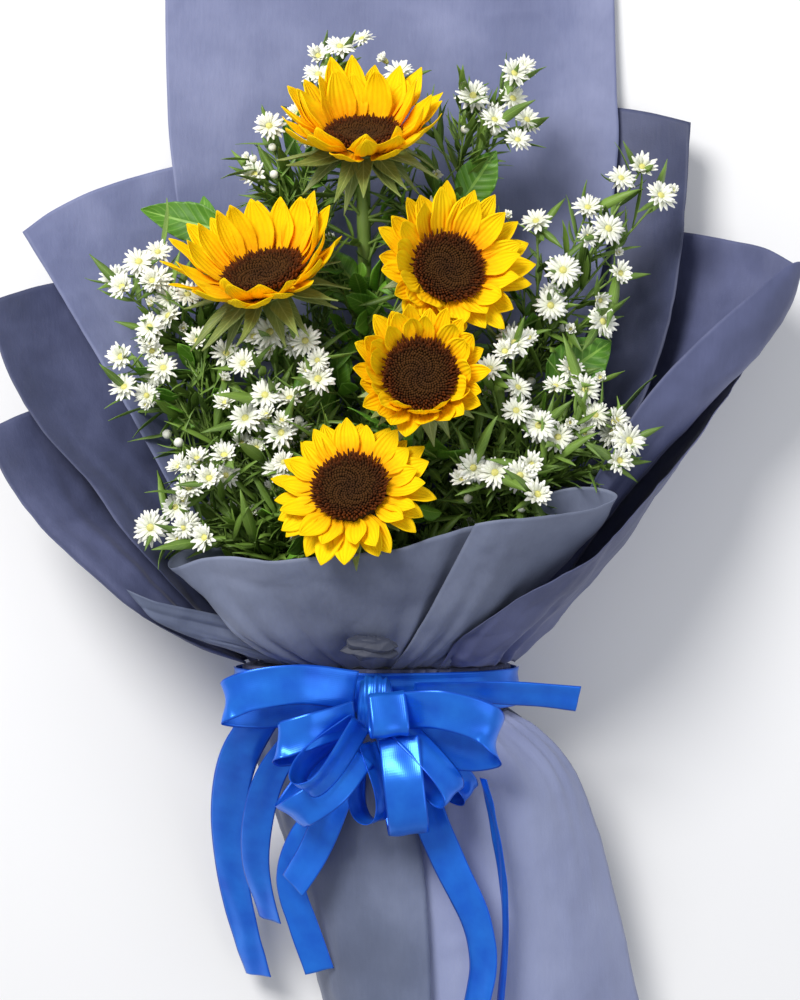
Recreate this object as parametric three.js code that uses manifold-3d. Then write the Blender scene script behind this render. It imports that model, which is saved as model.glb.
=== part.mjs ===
// Hand-tied bunch of sunflowers and asters in paper, lying on its back.
// Millimetres. +Y runs from the tie to the flower heads, +Z is up from the table.
import * as THREE from 'three';
import Module from 'manifold-3d';
import { mergeVertices } from 'three/addons/utils/BufferGeometryUtils.js';

const wasm = await Module();
wasm.setup();

// ---------- driving dimensions (mm) ----------
const gap = 0.3;                 // air between pieces that touch
const paperThickness = 1.2;      // folded wrapping paper
const ribbonWidth = 25;
const ribbonThickness = 0.8;
const discRadius = 24;           // seed disc of a full head
const discHeight = 9;
const petalLength = 30;
const petalThickness = 1.4;
const petalCount = 18;
const bractReach = 13;           // green bracts past the disc rim
const bractCount = 11;
const stemRadius = 4.5;          // sunflower stem
const stemEnd = -165;            // cut ends, inside the skirt
const asterStemRadius = 1.3;
const asterRadius = 9.5;         // bloom
const asterHeight = 5;
const leafThickness = 1.2;
const tieRadius = 2;             // cord round the stems
const tieY = 19;
const bundle = { halfWidth: 34, halfDepth: 21, height: 56 };              // stems where they are tied
const waist = { halfWidth: 92, halfDepth: 52, height: 58, centreX: 4 };   // gathered paper
const panelTop = 490;            // back panel's top edge above the tie
const skirtLength = 226;         // paper below the tie

// ---------- small helpers ----------
const vec = (p) => new THREE.Vector3(p[0], p[1], p[2]);
const curveOf = (points) => new THREE.CatmullRomCurve3(points.map(vec), false, 'centripetal');
const look = (color, roughness, metalness = 0) =>
  new THREE.MeshStandardMaterial({ color, roughness, metalness });

function geometryFrom(vertices, triangles) {
  const geometry = new THREE.BufferGeometry();
  geometry.setAttribute('position', new THREE.Float32BufferAttribute(vertices, 3));
  geometry.setIndex(triangles);
  return geometry;
}

// A closed mesh becomes a solid that can be joined and cut.
function solidOf(geometry) {
  geometry.deleteAttribute('normal');
  geometry.deleteAttribute('uv');
  const merged = mergeVertices(geometry, 1e-4);
  const solid = new wasm.Manifold(new wasm.Mesh({
    numProp: 3,
    vertProperties: new Float32Array(merged.attributes.position.array),
    triVerts: new Uint32Array(merged.index.array),
  }));
  return solid;
}

function meshOf(solid) {
  const { vertProperties, triVerts, numProp } = solid.getMesh();
  const points = [];
  for (let i = 0; i < vertProperties.length; i += numProp) {
    points.push(vertProperties[i], vertProperties[i + 1], vertProperties[i + 2]);
  }
  const geometry = geometryFrom(points, Array.from(triVerts));
  geometry.computeVertexNormals();
  return geometry;
}

// Lathe, box, extrude or other closed geometry turned so its +Z points along `facing`.
function turned(geometry, at, facing) {
  const turn = new THREE.Quaternion().setFromUnitVectors(new THREE.Vector3(0, 0, 1),
    vec(facing).normalize());
  return geometry.applyQuaternion(turn).translate(at[0], at[1], at[2]);
}

// LatheGeometry spins about Y; this stands it on Z. The profile runs [radius, height].
function lathe(profile, segments) {
  const points = profile.map(([radius, height]) => new THREE.Vector2(radius, height));
  return new THREE.LatheGeometry(points, segments).rotateX(Math.PI / 2);
}

// ---------- sheets: a surface through rows of points, given a thickness ----------
const tableLevel = (thickness) => thickness / 2;   // a sheet's middle can't sink under this

function sheetSurface(rows, alongSteps, acrossSteps, level) {
  const stations = rows.map((row) => curveOf(row).getPoints(acrossSteps));
  const grid = [];
  for (let j = 0; j <= acrossSteps; j += 1) {
    const column = curveOf(stations.map((points) => points[j].toArray())).getPoints(alongSteps);
    column.forEach((point) => { point.z = Math.max(point.z, level); });
    grid.push(column);
  }
  return grid;   // grid[j][i]
}

function sheet(rows, { thickness, along, across, grow = 0 }) {
  const grid = sheetSurface(rows, along, across, tableLevel(thickness));
  const half = thickness / 2 + grow;
  const at = (j, i) => grid[Math.min(Math.max(j, 0), across)][Math.min(Math.max(i, 0), along)];
  const vertices = [];
  const index = (side, j, i) => side * (across + 1) * (along + 1) + j * (along + 1) + i;
  for (const side of [1, -1]) {
    for (let j = 0; j <= across; j += 1) {
      for (let i = 0; i <= along; i += 1) {
        const acrossWay = at(j + 1, i).clone().sub(at(j - 1, i));
        const alongWay = at(j, i + 1).clone().sub(at(j, i - 1));
        const normal = acrossWay.clone().cross(alongWay).normalize();
        const point = at(j, i).clone().addScaledVector(normal, side * half);
        if (j === 0) point.addScaledVector(acrossWay.clone().normalize(), -grow);
        if (j === across) point.addScaledVector(acrossWay.clone().normalize(), grow);
        if (i === 0) point.addScaledVector(alongWay.clone().normalize(), -grow);
        if (i === along) point.addScaledVector(alongWay.clone().normalize(), grow);
        vertices.push(point.x, point.y, point.z);
      }
    }
  }
  const triangles = [];
  const quad = (a, b, c, d) => triangles.push(a, b, c, a, c, d);
  for (let j = 0; j < across; j += 1) {
    for (let i = 0; i < along; i += 1) {
      quad(index(0, j, i), index(0, j + 1, i), index(0, j + 1, i + 1), index(0, j, i + 1));
      quad(index(1, j, i), index(1, j, i + 1), index(1, j + 1, i + 1), index(1, j + 1, i));
    }
  }
  for (let j = 0; j < across; j += 1) {
    quad(index(1, j, 0), index(1, j + 1, 0), index(0, j + 1, 0), index(0, j, 0));
    quad(index(0, j, along), index(0, j + 1, along), index(1, j + 1, along), index(1, j, along));
  }
  for (let i = 0; i < along; i += 1) {
    quad(index(0, 0, i), index(0, 0, i + 1), index(1, 0, i + 1), index(1, 0, i));
    quad(index(1, across, i), index(1, across, i + 1), index(0, across, i + 1), index(0, across, i));
  }
  return solidOf(geometryFrom(vertices, triangles));
}

// A flat strip along a path; `across` gives the way its width points at the path's ends.
function strip({ path, across, width = ribbonWidth, steps }, grow = 0) {
  const curve = curveOf(path);
  const first = vec(across[0]);
  const last = vec(across[across.length - 1]);
  const rows = [];
  for (let i = 0; i <= steps; i += 1) {
    const point = curve.getPoint(i / steps);
    const tangent = curve.getTangent(i / steps);
    const way = first.clone().lerp(last, i / steps);
    way.addScaledVector(tangent, -way.dot(tangent)).normalize();
    const left = point.clone().addScaledVector(way, -width / 2);
    const right = point.clone().addScaledVector(way, width / 2);
    rows.push([left.toArray(), right.toArray()]);
  }
  return sheet(rows, { thickness: ribbonThickness, along: steps, across: 1, grow });
}

// ---------- stems ----------
function tube(path, radius, sides, steps) {
  const section = new THREE.Shape();
  for (let i = 0; i < sides; i += 1) {
    const angle = (i / sides) * 2 * Math.PI;
    if (i === 0) section.moveTo(radius, 0);
    else section.lineTo(radius * Math.cos(angle), radius * Math.sin(angle));
  }
  return new THREE.ExtrudeGeometry(section, { extrudePath: curveOf(path), steps, bevelEnabled: false });
}

// ---------- sunflower heads ----------
// `lift` raises the petal tips toward the face, `droop` lets them fall back at the tips.
const heads = {
  top: { at: [-4, 353, 98], facing: [0, 0.84, 0.54],
    size: 0.97, lift: 0.6, droop: 0.1, bundleAt: [0, -10] },
  upper_left: { at: [-66, 262, 112], facing: [-0.22, 0.78, 0.58],
    size: 1.06, lift: 0.5, droop: 0.15, bundleAt: [-22, -8] },
  right: { at: [49, 267, 114], facing: [0.25, 0.3, 0.92],
    size: 0.93, lift: 0.1, droop: 0.1, bundleAt: [22, -8] },
  middle: { at: [32, 198, 146], facing: [0, 0.25, 0.97],
    size: 0.92, lift: 0.45, droop: 0, bundleAt: [12, 8] },
  bottom: { at: [-10, 128, 154], facing: [-0.15, 0.5, 0.85],
    size: 0.93, lift: 0.1, droop: 0.4, bundleAt: [-12, 9] },
};

// A scalloped ring of petals round a disc: flat near the disc, shaped by lift and droop further out.
function petalRing({ inner, length, count, thickness, lift, droop, cleft, radialSteps }, grow = 0) {
  const columns = count * 2;
  const vertices = [];
  const index = (side, c, r) => (side * columns + (c % columns)) * (radialSteps + 1) + r;
  for (const side of [1, -1]) {
    for (let c = 0; c < columns; c += 1) {
      const angle = (c / columns) * 2 * Math.PI;
      const reach = (c % 2 === 0 ? length : length * cleft) + grow;
      for (let r = 0; r <= radialSteps; r += 1) {
        const t = r / radialSteps;
        const radius = inner - grow + (reach + grow) * t;
        const rise = length * (lift * t - droop * t * t);
        const height = rise + side * (thickness / 2 + grow);
        vertices.push(radius * Math.cos(angle), radius * Math.sin(angle), height);
      }
    }
  }
  const triangles = [];
  const quad = (a, b, c, d) => triangles.push(a, b, c, a, c, d);
  for (let c = 0; c < columns; c += 1) {
    for (let r = 0; r < radialSteps; r += 1) {
      quad(index(0, c, r), index(0, c, r + 1), index(0, c + 1, r + 1), index(0, c + 1, r));
      quad(index(1, c, r), index(1, c + 1, r), index(1, c + 1, r + 1), index(1, c, r + 1));
    }
    quad(index(0, c, 0), index(0, c + 1, 0), index(1, c + 1, 0), index(1, c, 0));
    quad(index(1, c, radialSteps), index(1, c + 1, radialSteps), index(0, c + 1, radialSteps), index(0,
      c, radialSteps));
  }
  return geometryFrom(vertices, triangles);
}

function disc({ size, at, facing }, grow) {
  const radius = discRadius * size + grow;
  const profile = [[0, -grow - 3], [radius, -grow - 3], [radius, discHeight * 0.45],
    [radius * 0.8, discHeight * 0.9 + grow],
    [radius * 0.4, discHeight * 0.7 + grow], [0, discHeight * 0.6 + grow]];
  return solidOf(turned(lathe(profile, 16), at, facing));
}

function petals({ size, at, facing, lift, droop }, grow) {
  const ring = petalRing({
    inner: discRadius * size + 2 * gap, length: petalLength * size, count: petalCount,
    thickness: petalThickness, lift, droop, cleft: 0.72, radialSteps: 2,
  }, grow);
  return solidOf(turned(ring, at, facing));
}

// Green cup that carries the head, with its ring of bracts, grown in one with the stem.
const cupTop = -3 - gap;
const cupHeight = 11;
function cupAndBracts({ size, at, facing, droop }, grow) {
  const radius = discRadius * size;
  const cup = lathe([[0, cupTop - cupHeight - grow], [stemRadius * 1.6 + grow, cupTop - cupHeight - grow],
    [radius * 0.8 + grow, cupTop - 4], [radius * 0.9 + grow, cupTop + grow], [0, cupTop + grow]], 12);
  const star = petalRing({
    inner: radius * 0.6, length: radius * 0.4 + bractReach, count: bractCount,
    thickness: petalThickness, lift: -0.1, droop: 0.25 + droop * 0.6, cleft: 0.6, radialSteps: 1,
  }, grow).translate(0, 0, cupTop - petalThickness / 2 - 0.2);
  return solidOf(turned(cup, at, facing)).add(solidOf(turned(star, at, facing)));
}

function headStem(head, grow) {
  const { at, facing, bundleAt } = head;
  const back = vec(facing).normalize();
  const top = vec(at).addScaledVector(back, cupTop - cupHeight + 2);
  const below = top.clone().addScaledVector(back, -35);
  const tied = [bundleAt[0], 25, bundle.height + bundleAt[1]];
  const foot = [bundleAt[0] * 1.3 + 12, stemEnd, bundle.height * 0.75 + bundleAt[1]];
  const halfWay = [(tied[0] + below.x) / 2, (tied[1] + below.y) / 2, (tied[2] + below.z) / 2 - 4];
  const path = [top.toArray(), below.toArray(), halfWay, tied, [bundleAt[0] + 4, -50,
    bundle.height + bundleAt[1] - 4], foot];
  return solidOf(tube(path, stemRadius + grow, 6, 9)).add(cupAndBracts(head, grow));
}

// ---------- asters: one branching stem with its blooms ----------
const sprays = {
  left_upper: { bundleAt: [-13, -16], fork: [-115, 215, 62],
    blooms: [[-157, 257, 92], [-148, 274, 84], [-136, 262, 88], [-140, 232, 90]] },
  left_lower: { bundleAt: [-29, 0], fork: [-112, 172, 72],
    blooms: [[-157, 212, 96], [-155, 193, 98], [-131, 205, 94], [-110, 222, 92], [-92, 214, 96]] },
  left_middle: { bundleAt: [-25, 9], fork: [-78, 95, 92],
    blooms: [[-90, 148, 118], [-99, 134, 122], [-56, 140, 122], [-112, 128, 112], [-136, 104, 112],
      [-101, 98, 124]] },
  centre_left: { bundleAt: [-20, 14], fork: [-52, 150, 98],
    blooms: [[-78, 206, 116], [-62, 226, 112], [-40, 220, 118], [-64, 186, 124], [-32, 196, 122],
      [-76, 172, 122], [-54, 163, 126]] },
  top: { bundleAt: [-9, -17], fork: [-48, 320, 50],
    blooms: [[-65, 364, 72], [-74, 334, 66], [-34, 400, 60], [-20, 418, 62]] },
  right_top: { bundleAt: [9, -17], fork: [60, 340, 56],
    blooms: [[93, 397, 78], [67, 383, 76], [80, 366, 84], [101, 368, 74], [20, 402, 60]] },
  right_upper: { bundleAt: [17, -14], fork: [120, 250, 66],
    blooms: [[108, 300, 84], [140, 308, 90], [152, 294, 96], [124, 268, 94], [160, 267, 88],
      [175, 335, 84], [186, 316, 90], [148, 236, 98], [116, 246, 98]] },
  right_lower: { bundleAt: [29, 0], fork: [92, 120, 90],
    blooms: [[76, 202, 124], [92, 219, 112], [92, 176, 128], [106, 167, 126], [118, 160, 120],
      [101, 143, 132], [79, 138, 134], [104, 125, 138]] },
  right_outer: { bundleAt: [26, 8], fork: [112, 135, 92],
    blooms: [[128, 203, 104], [136, 190, 110], [142, 174, 112], [155, 146, 129], [161, 158, 128]] },
};

function spray({ bundleAt, fork, blooms }, grow) {
  const tied = [bundleAt[0], 25, bundle.height + bundleAt[1]];
  const below = [bundleAt[0], -30, bundle.height + bundleAt[1] - 2];
  const rise = [(tied[0] + fork[0]) / 2, (tied[1] + fork[1]) / 2, (tied[2] + fork[2]) / 2 - 6];
  let whole = solidOf(tube([below, tied, rise, fork], asterStemRadius * 1.3 + grow, 4, 5));
  const spine = vec(fork).sub(vec(tied)).normalize();
  for (const bloom of blooms) {
    const facing = vec(bloom).sub(vec(fork)).normalize().multiplyScalar(0.45).add(new THREE.Vector3(0,
      0.1, 0.8)).normalize();
    const root = vec(fork).addScaledVector(spine, -4);
    const neck = vec(bloom).addScaledVector(facing, -14);
    const bend = root.clone().lerp(neck, 0.5).addScaledVector(spine, 6);
    const path = [root.toArray(), bend.toArray(), neck.toArray(), vec(bloom).addScaledVector(facing,
      0.5).toArray()];
    whole = whole.add(solidOf(tube(path, asterStemRadius * 0.9 + grow, 3, 2)));
    const flower = new THREE.CylinderGeometry(asterRadius + grow, asterRadius * 0.3 + grow,
      asterHeight + 2 * grow, 6)
      .rotateX(Math.PI / 2).translate(0, 0, asterHeight / 2);
    whole = whole.add(solidOf(turned(flower, bloom, facing.toArray())));
  }
  return whole;
}

// ---------- leaves ----------
const leaves = {
  leaf_top_left: { from: [-92, 300, 62], to: [-150, 312, 46], width: 26, sag: 4 },
  leaf_left_upright: { from: [-104, 262, 58], to: [-112, 330, 40], width: 24, sag: 3 },
  leaf_right_top: { from: [58, 318, 60], to: [84, 350, 66], width: 26, sag: 3 },
  leaf_right_large: { from: [112, 196, 84], to: [158, 224, 88], width: 34, sag: 6 },
};

function leaf({ from, to, width, sag }, grow) {
  const start = vec(from);
  const run = vec(to).sub(start);
  const side = run.clone().cross(new THREE.Vector3(0, 0, 1)).normalize();
  const outline = [0.14, 0.75, 1, 0.8, 0.1];    // half-widths from the stalk to the tip
  const rows = outline.map((share, i) => {
    const t = i / (outline.length - 1);
    const centre = start.clone().addScaledVector(run, t);
    centre.z += sag * 4 * t * (1 - t);
    const half = (width / 2) * share;
    const edge = (way) => {
      const point = centre.clone().addScaledVector(side, way * half);
      point.z += half * 0.22;                   // folded up along the midrib
      return point.toArray();
    };
    return [edge(-1), centre.toArray(), edge(1)];
  });
  return sheet(rows, { thickness: leafThickness, along: 8, across: 2, grow });
}

// ---------- wrapping paper ----------
// The paper gathers to an oval neck. A row of a sheet there is given by two angles round the
// oval (0 is +X, 90 is up) and how far inside the outermost layer the sheet lies.
const bandHalf = ribbonWidth / 2;
const pleatEdge = bandHalf + 1.5;
const neckY = pleatEdge + 5 * gap;
function neck(fromAngle, toAngle, inset, side = 1) {
  return [0, 0.25, 0.5, 0.75, 1].map((t) => {
    const angle = THREE.MathUtils.degToRad(fromAngle + (toAngle - fromAngle) * t);
    return [waist.centreX + (waist.halfWidth - inset) * Math.cos(angle), side * neckY,
      waist.height + (waist.halfDepth - inset) * Math.sin(angle)];
  });
}

// Each sheet is rows of points; a row runs across the sheet, and one end row is at the neck.
const papers = {
  back_panel: { along: 8, across: 7, rows: [
    [[-142, panelTop - 2, 5], [-112, panelTop, 1], [-63, panelTop, 0], [13, panelTop, 0], [89, panelTop, 0],
      [136, panelTop, 1], [167, panelTop - 2, 5]],
    [[-141, 420, 8], [-110, 420, 2], [-63, 420, 0], [13, 420, 0], [89, 420, 0], [137, 420, 2],
      [168, 420, 9]],
    [[-136, 350, 15], [-108, 350, 8], [-63, 350, 4], [13, 350, 3], [88, 350, 4], [136, 350, 9],
      [168, 350, 16]],
    [[-108, 210, 34], [-88, 210, 25], [-55, 210, 19], [12, 210, 17], [74, 210, 19], [114, 210, 26],
      [138, 210, 35]],
    [[-58, 82, 36], [-48, 82, 31], [-30, 82, 27], [3, 80, 26], [38, 82, 27], [58, 82, 31], [70, 82, 36]],
    neck(236, 304, 22)] },
  left_upper_sheet: { along: 6, across: 5, rows: [
    [[-231, 300, 52], [-209, 319, 38], [-180, 335, 24], [-151, 346, 13], [-118, 356, 6]],
    [[-201, 251, 60], [-181, 263, 42], [-153, 274, 27], [-124, 285, 15], [-94, 292, 8]],
    [[-164, 189, 68], [-143, 199, 48], [-119, 208, 31], [-93, 216, 18], [-64, 222, 10]],
    [[-118, 112, 80], [-102, 118, 58], [-84, 123, 39], [-65, 128, 24], [-40, 132, 14]],
    neck(152, 226, 15)] },
  left_middle_sheet: { along: 6, across: 5, rows: [
    [[-251, 251, 72], [-232, 260, 56], [-209, 269, 37], [-171, 277, 15], [-134, 284, 3]],
    [[-226, 187, 84], [-206, 193, 60], [-176, 200, 38], [-142, 206, 17], [-106, 211, 4]],
    [[-181, 135, 98], [-162, 140, 73], [-137, 147, 48], [-109, 154, 23], [-78, 160, 6]],
    [[-142, 84, 106], [-124, 89, 82], [-104, 95, 57], [-82, 101, 31], [-54, 106, 9]],
    neck(157, 234, 9)] },
  left_lower_sheet: { along: 6, across: 5, rows: [
    [[-248, 166, 92], [-226, 179, 72], [-199, 190, 44], [-164, 198, 14], [-120, 204, 0]],
    [[-220, 119, 108], [-200, 125, 84], [-175, 133, 52], [-142, 140, 19], [-102, 146, 0]],
    [[-176, 75, 118], [-158, 82, 96], [-137, 89, 67], [-108, 96, 30], [-72, 102, 1]],
    [[-136, 42, 108], [-122, 47, 92], [-106, 53, 68], [-86, 59, 33], [-56, 65, 1]],
    neck(163, 242, 3)] },
  left_front_sheet: { along: 4, across: 6, rows: [
    [[-152, 66, 119], [-132, 58, 120], [-108, 52, 106], [-84, 46, 100], [-50, 40, 100], [-20, 38, 102]],
    [[-134, 46, 115], [-116, 40, 109], [-98, 35, 101], [-78, 30, 98], [-50, 26, 98], [-20, 25, 98]],
    neck(146, 102, 14)] },
  right_upper_sheet: { along: 6, across: 5, rows: [
    [[152, 396, 2], [169, 392, 6], [186, 388, 14], [202, 382, 24], [216, 376, 34]],
    [[134, 308, 6], [160, 307, 10], [182, 305, 19], [198, 302, 31], [209, 300, 46]],
    [[124, 232, 10], [150, 231, 15], [167, 229, 27], [182, 226, 42], [193, 221, 58]],
    [[102, 163, 13], [124, 163, 23], [140, 161, 37], [153, 158, 52], [163, 155, 66]],
    [[62, 78, 16], [78, 80, 27], [90, 81, 41], [101, 82, 55], [110, 83, 69]],
    neck(-54, 16, 15)] },
  right_middle_sheet: { along: 7, across: 8, rows: [
    [[158, 311, 4], [198, 308, 11], [232, 299, 32], [261, 288, 60], [281, 272, 84], [277, 275, 97],
      [266, 271, 102]],
    [[154, 256, 4], [190, 257, 11], [220, 253, 34], [247, 243, 65], [264, 232, 90], [253, 238, 108],
      [236, 247, 114]],
    [[144, 194, 5], [171, 195, 14], [194, 195, 39], [213, 192, 70], [225, 188, 94], [212, 195, 112],
      [190, 205, 119]],
    [[127, 143, 6], [147, 145, 22], [166, 147, 49], [179, 147, 78], [186, 149, 100], [176, 155, 114],
      [157, 161, 119]],
    [[85, 71, 9], [101, 74, 24], [115, 77, 46], [126, 81, 68], [135, 86, 88], [131, 91, 100],
      [120, 93, 106]],
    neck(-58, 34, 9)] },
  right_outer_sheet: { along: 6, across: 10, rows: [
    [[66, 40, 132], [105, 68, 146], [138, 86, 144], [175, 122, 128], [215, 170, 102], [248, 213, 66],
      [247, 241, 26], [199, 245, 0]],
    [[54, 30, 122], [84, 40, 130], [113, 51, 126], [141, 71, 108], [172, 105, 78], [188, 134, 44],
      [177, 156, 13], [134, 163, 0]],
    [[48, 20, 112], [70, 22, 116], [90, 28, 112], [110, 38, 98], [127, 52, 76], [132, 66, 47],
      [122, 78, 20], [92, 84, 2]],
    neck(64, -62, 1)] },
  front_collar_sheet: { along: 5, across: 12, rows: [
    [[-95, 92, 92], [-124, 88, 102], [-124, 79, 118], [-94, 88, 140], [-62, 85, 155], [-25, 88, 161],
      [17, 92, 163], [51, 103, 161], [83, 110, 150]],
    [[-84, 74, 104], [-105, 70, 108], [-103, 59, 118], [-80, 63, 132], [-50, 60, 141], [-17, 60, 146],
      [15, 61, 146], [39, 66, 142], [66, 70, 132]],
    [[-68, 36, 111], [-78, 36, 114], [-74, 31, 117], [-58, 30, 120], [-36, 30, 122], [-14, 31, 123],
      [6, 31, 122], [22, 31, 119], [36, 31, 116]],
    neck(134, 74, 8)] },
  collar_fold_sheet: { along: 4, across: 10, rows: [
    [[65, 108, 170], [82, 111, 173], [100, 112, 170], [121, 114, 162], [142, 119, 148], [154, 126, 134],
      [140, 130, 124], [118, 128, 120], [104, 118, 114]],
    [[49, 76, 152], [67, 78, 154], [85, 80, 150], [105, 83, 140], [124, 88, 128], [136, 95, 116],
      [126, 100, 110], [112, 100, 107], [103, 95, 103]],
    [[26, 33, 125], [41, 35, 127], [57, 38, 125], [70, 40, 121], [80, 44, 115], [88, 50, 106],
      [88, 55, 98], [85, 58, 93], [80, 58, 88]],
    neck(84, 38, 4.5)] },
  skirt_front_left: { along: 5, across: 6, rows: [
    neck(172, 84, 1, -1),
    [[-70, -62, 56], [-62, -62, 80], [-40, -62, 98], [-8, -60, 109], [26, -60, 109]],
    [[-50, -125, 48], [-42, -125, 76], [-24, -125, 98], [6, -125, 111], [36, -125, 111]],
    [[-30, 4 - skirtLength, 40], [-20, 3 - skirtLength, 72], [-2, 1 - skirtLength, 98],
      [16, -skirtLength, 114],
      [40, -skirtLength, 114]]] },
  skirt_front_right: { along: 5, across: 6, rows: [
    neck(94, 14, 5, -1),
    [[12, -60, 102], [40, -60, 104], [82, -58, 103], [112, -54, 86], [130, -48, 60]],
    [[20, -125, 104], [48, -127, 105], [92, -126, 104], [128, -122, 82], [156, -114, 48]],
    [[24, -skirtLength, 106], [54, -skirtLength, 107], [108, 1 - skirtLength, 104],
      [148, 4 - skirtLength, 74],
      [180, 10 - skirtLength, 38]]] },
  skirt_back: { along: 5, across: 6, rows: [
    neck(196, 344, 2, -1),
    [[-68, -62, 26], [-48, -62, 8], [16, -62, 4], [80, -60, 10], [126, -50, 34]],
    [[-48, -125, 18], [-28, -125, 2], [36, -125, 0], [102, -124, 3], [152, -114, 22]],
    [[-28, 4 - skirtLength, 14], [-6, 1 - skirtLength, 1], [54, -skirtLength, 0], [126, 1 - skirtLength, 1],
      [177, 10 - skirtLength, 14]]] },
};

function paper({ rows, along, across }, grow) {
  return sheet(rows, { thickness: paperThickness, along, across, grow });
}

// The paper bunched round the stems between the flowers and the skirt: a pleated oval ring.
function oval(halfWidth, halfDepth, points, pleat = 0, pleats = 1) {
  const shape = new THREE.Shape();
  for (let i = 0; i < points; i += 1) {
    const angle = (i / points) * 2 * Math.PI;
    const ripple = 1 - (pleat * (1 + Math.cos(pleats * angle))) / 2;
    const x = halfWidth * ripple * Math.cos(angle);
    const z = halfDepth * ripple * Math.sin(angle);
    if (i === 0) shape.moveTo(x, z);
    else shape.lineTo(x, z);
  }
  return shape;
}

function alongY(shape, yFrom, yTo) {
  return new THREE.ExtrudeGeometry(shape, { depth: yTo - yFrom, bevelEnabled: false })
    .rotateX(Math.PI / 2).translate(0, yTo, 0);
}

function gatheredPaper(grow) {
  const shape = oval(waist.halfWidth + grow, waist.halfDepth + grow, 24, 0.04, 12);
  const hole = oval(bundle.halfWidth + gap - grow, bundle.halfDepth + gap - grow, 14);
  const middle = new THREE.Vector2(-waist.centreX, bundle.height - waist.height);
  shape.holes.push(new THREE.Path(hole.getPoints().map((point) => point.add(middle))));
  return solidOf(alongY(shape, -pleatEdge - grow, pleatEdge + grow).translate(waist.centreX, 0,
    waist.height));
}

function stemTie(grow) {
  const shape = oval(bundle.halfWidth + 2 * tieRadius + grow, bundle.halfDepth + 2 * tieRadius + grow, 20);
  shape.holes.push(oval(bundle.halfWidth - grow, bundle.halfDepth - grow, 20));
  return solidOf(alongY(shape, tieY - grow, tieY + 2 * tieRadius + grow).translate(0, 0, bundle.height));
}

// ---------- ribbon ----------
const bandAt = (angle) => {
  const out = 3 * gap + ribbonThickness / 2;
  return [waist.centreX + (waist.halfWidth + out) * Math.cos(angle), 0,
    waist.height + (waist.halfDepth + out) * Math.sin(angle)];
};
const arc = (from, to, count) => Array.from({ length: count },
  (_, i) => bandAt(from + ((to - from) * i) / (count - 1)));
const bandTop = waist.height + waist.halfDepth + ribbonThickness + gap;
const onBand = (points) => points.map(([x, y, rise]) => [x, y, bandTop + rise]);
const ribbons = {
  ribbon_band_front: { path: arc(0.02, Math.PI - 0.02, 13), across: [[0, 1, 0]], steps: 18 },
  ribbon_band_back: { path: arc(-0.02, -Math.PI + 0.02, 13), across: [[0, 1, 0]], steps: 18 },
  bow_loop_upper_left: { path: onBand([[-8, 4, 24], [-42, 9, 38], [-76, 4, 38], [-88, -4, 28],
    [-66, -8, 17], [-12, -2, 11]]),
    across: [[0, 1, 0.15], [0, 1, -0.2]], steps: 16 },
  bow_loop_left: { path: onBand([[-8, -12, 30], [-36, -19, 46], [-54, -26, 42], [-50, -32, 28],
    [-12, -18, 16]]),
    across: [[0.25, 1, 0], [0.2, 1, 0]], steps: 14, width: 22 },
  bow_loop_lower_left: { path: onBand([[-5, -34, 30], [-22, -54, 46], [-42, -68, 44], [-48, -72, 28],
    [-32, -50, 16], [-12, -24, 8]]),
    across: [[0.8, -0.6, 0]], steps: 16, width: 22 },
  bow_loop_lower: { path: onBand([[19, -24, 34], [22, -50, 46], [25, -76, 40], [25, -84, 26],
    [21, -62, 14], [17, -24, 7]]),
    across: [[1, 0, 0.1], [1, 0.2, 0]], steps: 16 },
  bow_loop_right: { path: onBand([[18, -8, 30], [46, -6, 44], [74, -16, 40], [78, -30, 28],
    [56, -34, 18], [18, -14, 12]]),
    across: [[-0.2, 1, 0.3], [0.3, 1, 0]], steps: 16 },
  ribbon_end_right: { path: onBand([[28, 2, 22], [74, 2, 16], [106, 0, 10],
    [132, -3, 6]]), across: [[0, 0.8, 0.6], [0, 0.9, 0.4]], steps: 10, width: 18 },
  tail_far_left: { path: onBand([[-70, -18, 4], [-84, -44, -16], [-93, -84, -46], [-92, -130, -68],
    [-84, -172, -80], [-76, -200, -86]]),
    across: [[1, 0.3, 0.2], [1, -0.2, 0.8]], steps: 14 },
  tail_left: { path: onBand([[-48, -30, 10], [-62, -52, 2], [-72, -86, -20], [-74, -120, -40],
    [-66, -156, -56]]),
    across: [[0.9, 0.2, -0.3], [0.7, 0.1, 0.7]], steps: 12, width: 20 },
  tail_middle: { path: onBand([[-14, -42, 5], [-21, -66, 7], [-34, -98, 6], [-48, -122, 0]]),
    across: [[0.9, -0.4, 0.2], [1, -0.3, 0.8]], steps: 10, width: 22 },
  tail_front: { path: onBand([[-27, -72, -3], [-44, -98, -9], [-50, -124, -16], [-42, -152, -20],
    [-32, -182, -24]]),
    across: [[1, 0.4, 0.5], [1, 0.15, 0.2]], steps: 10, width: 20 },
  tail_right: { path: onBand([[28, -42, 4], [38, -76, 7], [53, -110, 12], [67, -140, 13],
    [72, -168, 12], [66, -202, 13]]),
    across: [[1, 0.3, 0], [0.7, 0.2, 0.8]], steps: 12, width: 22 },
  tail_edge: { path: onBand([[72, -52, 14], [78, -76, 12], [84, -112, 11], [86, -150, 11], [82, -202, 11]]),
    across: [[0.4, 0, 1], [0.3, 0, 1]], steps: 12, width: 12 },
};

function knot(grow) {
  const profile = [[0, -9 - grow], [9 + grow, -8 - grow], [13 + grow, -2], [12 + grow, 5],
    [7 + grow, 10 + grow], [0, 11 + grow]];
  const shape = lathe(profile, 14).scale(0.95, 1.5, 1);
  return solidOf(shape.translate(4, -6, bandTop + 12));
}

// Screwed-up paper pushed in over the knot.
function tuck(grow) {
  const lump = new THREE.IcosahedronGeometry(10 + grow, 1).scale(2, 1, 0.7);
  return solidOf(lump.translate(2, 30, bandTop + 24));
}

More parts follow.
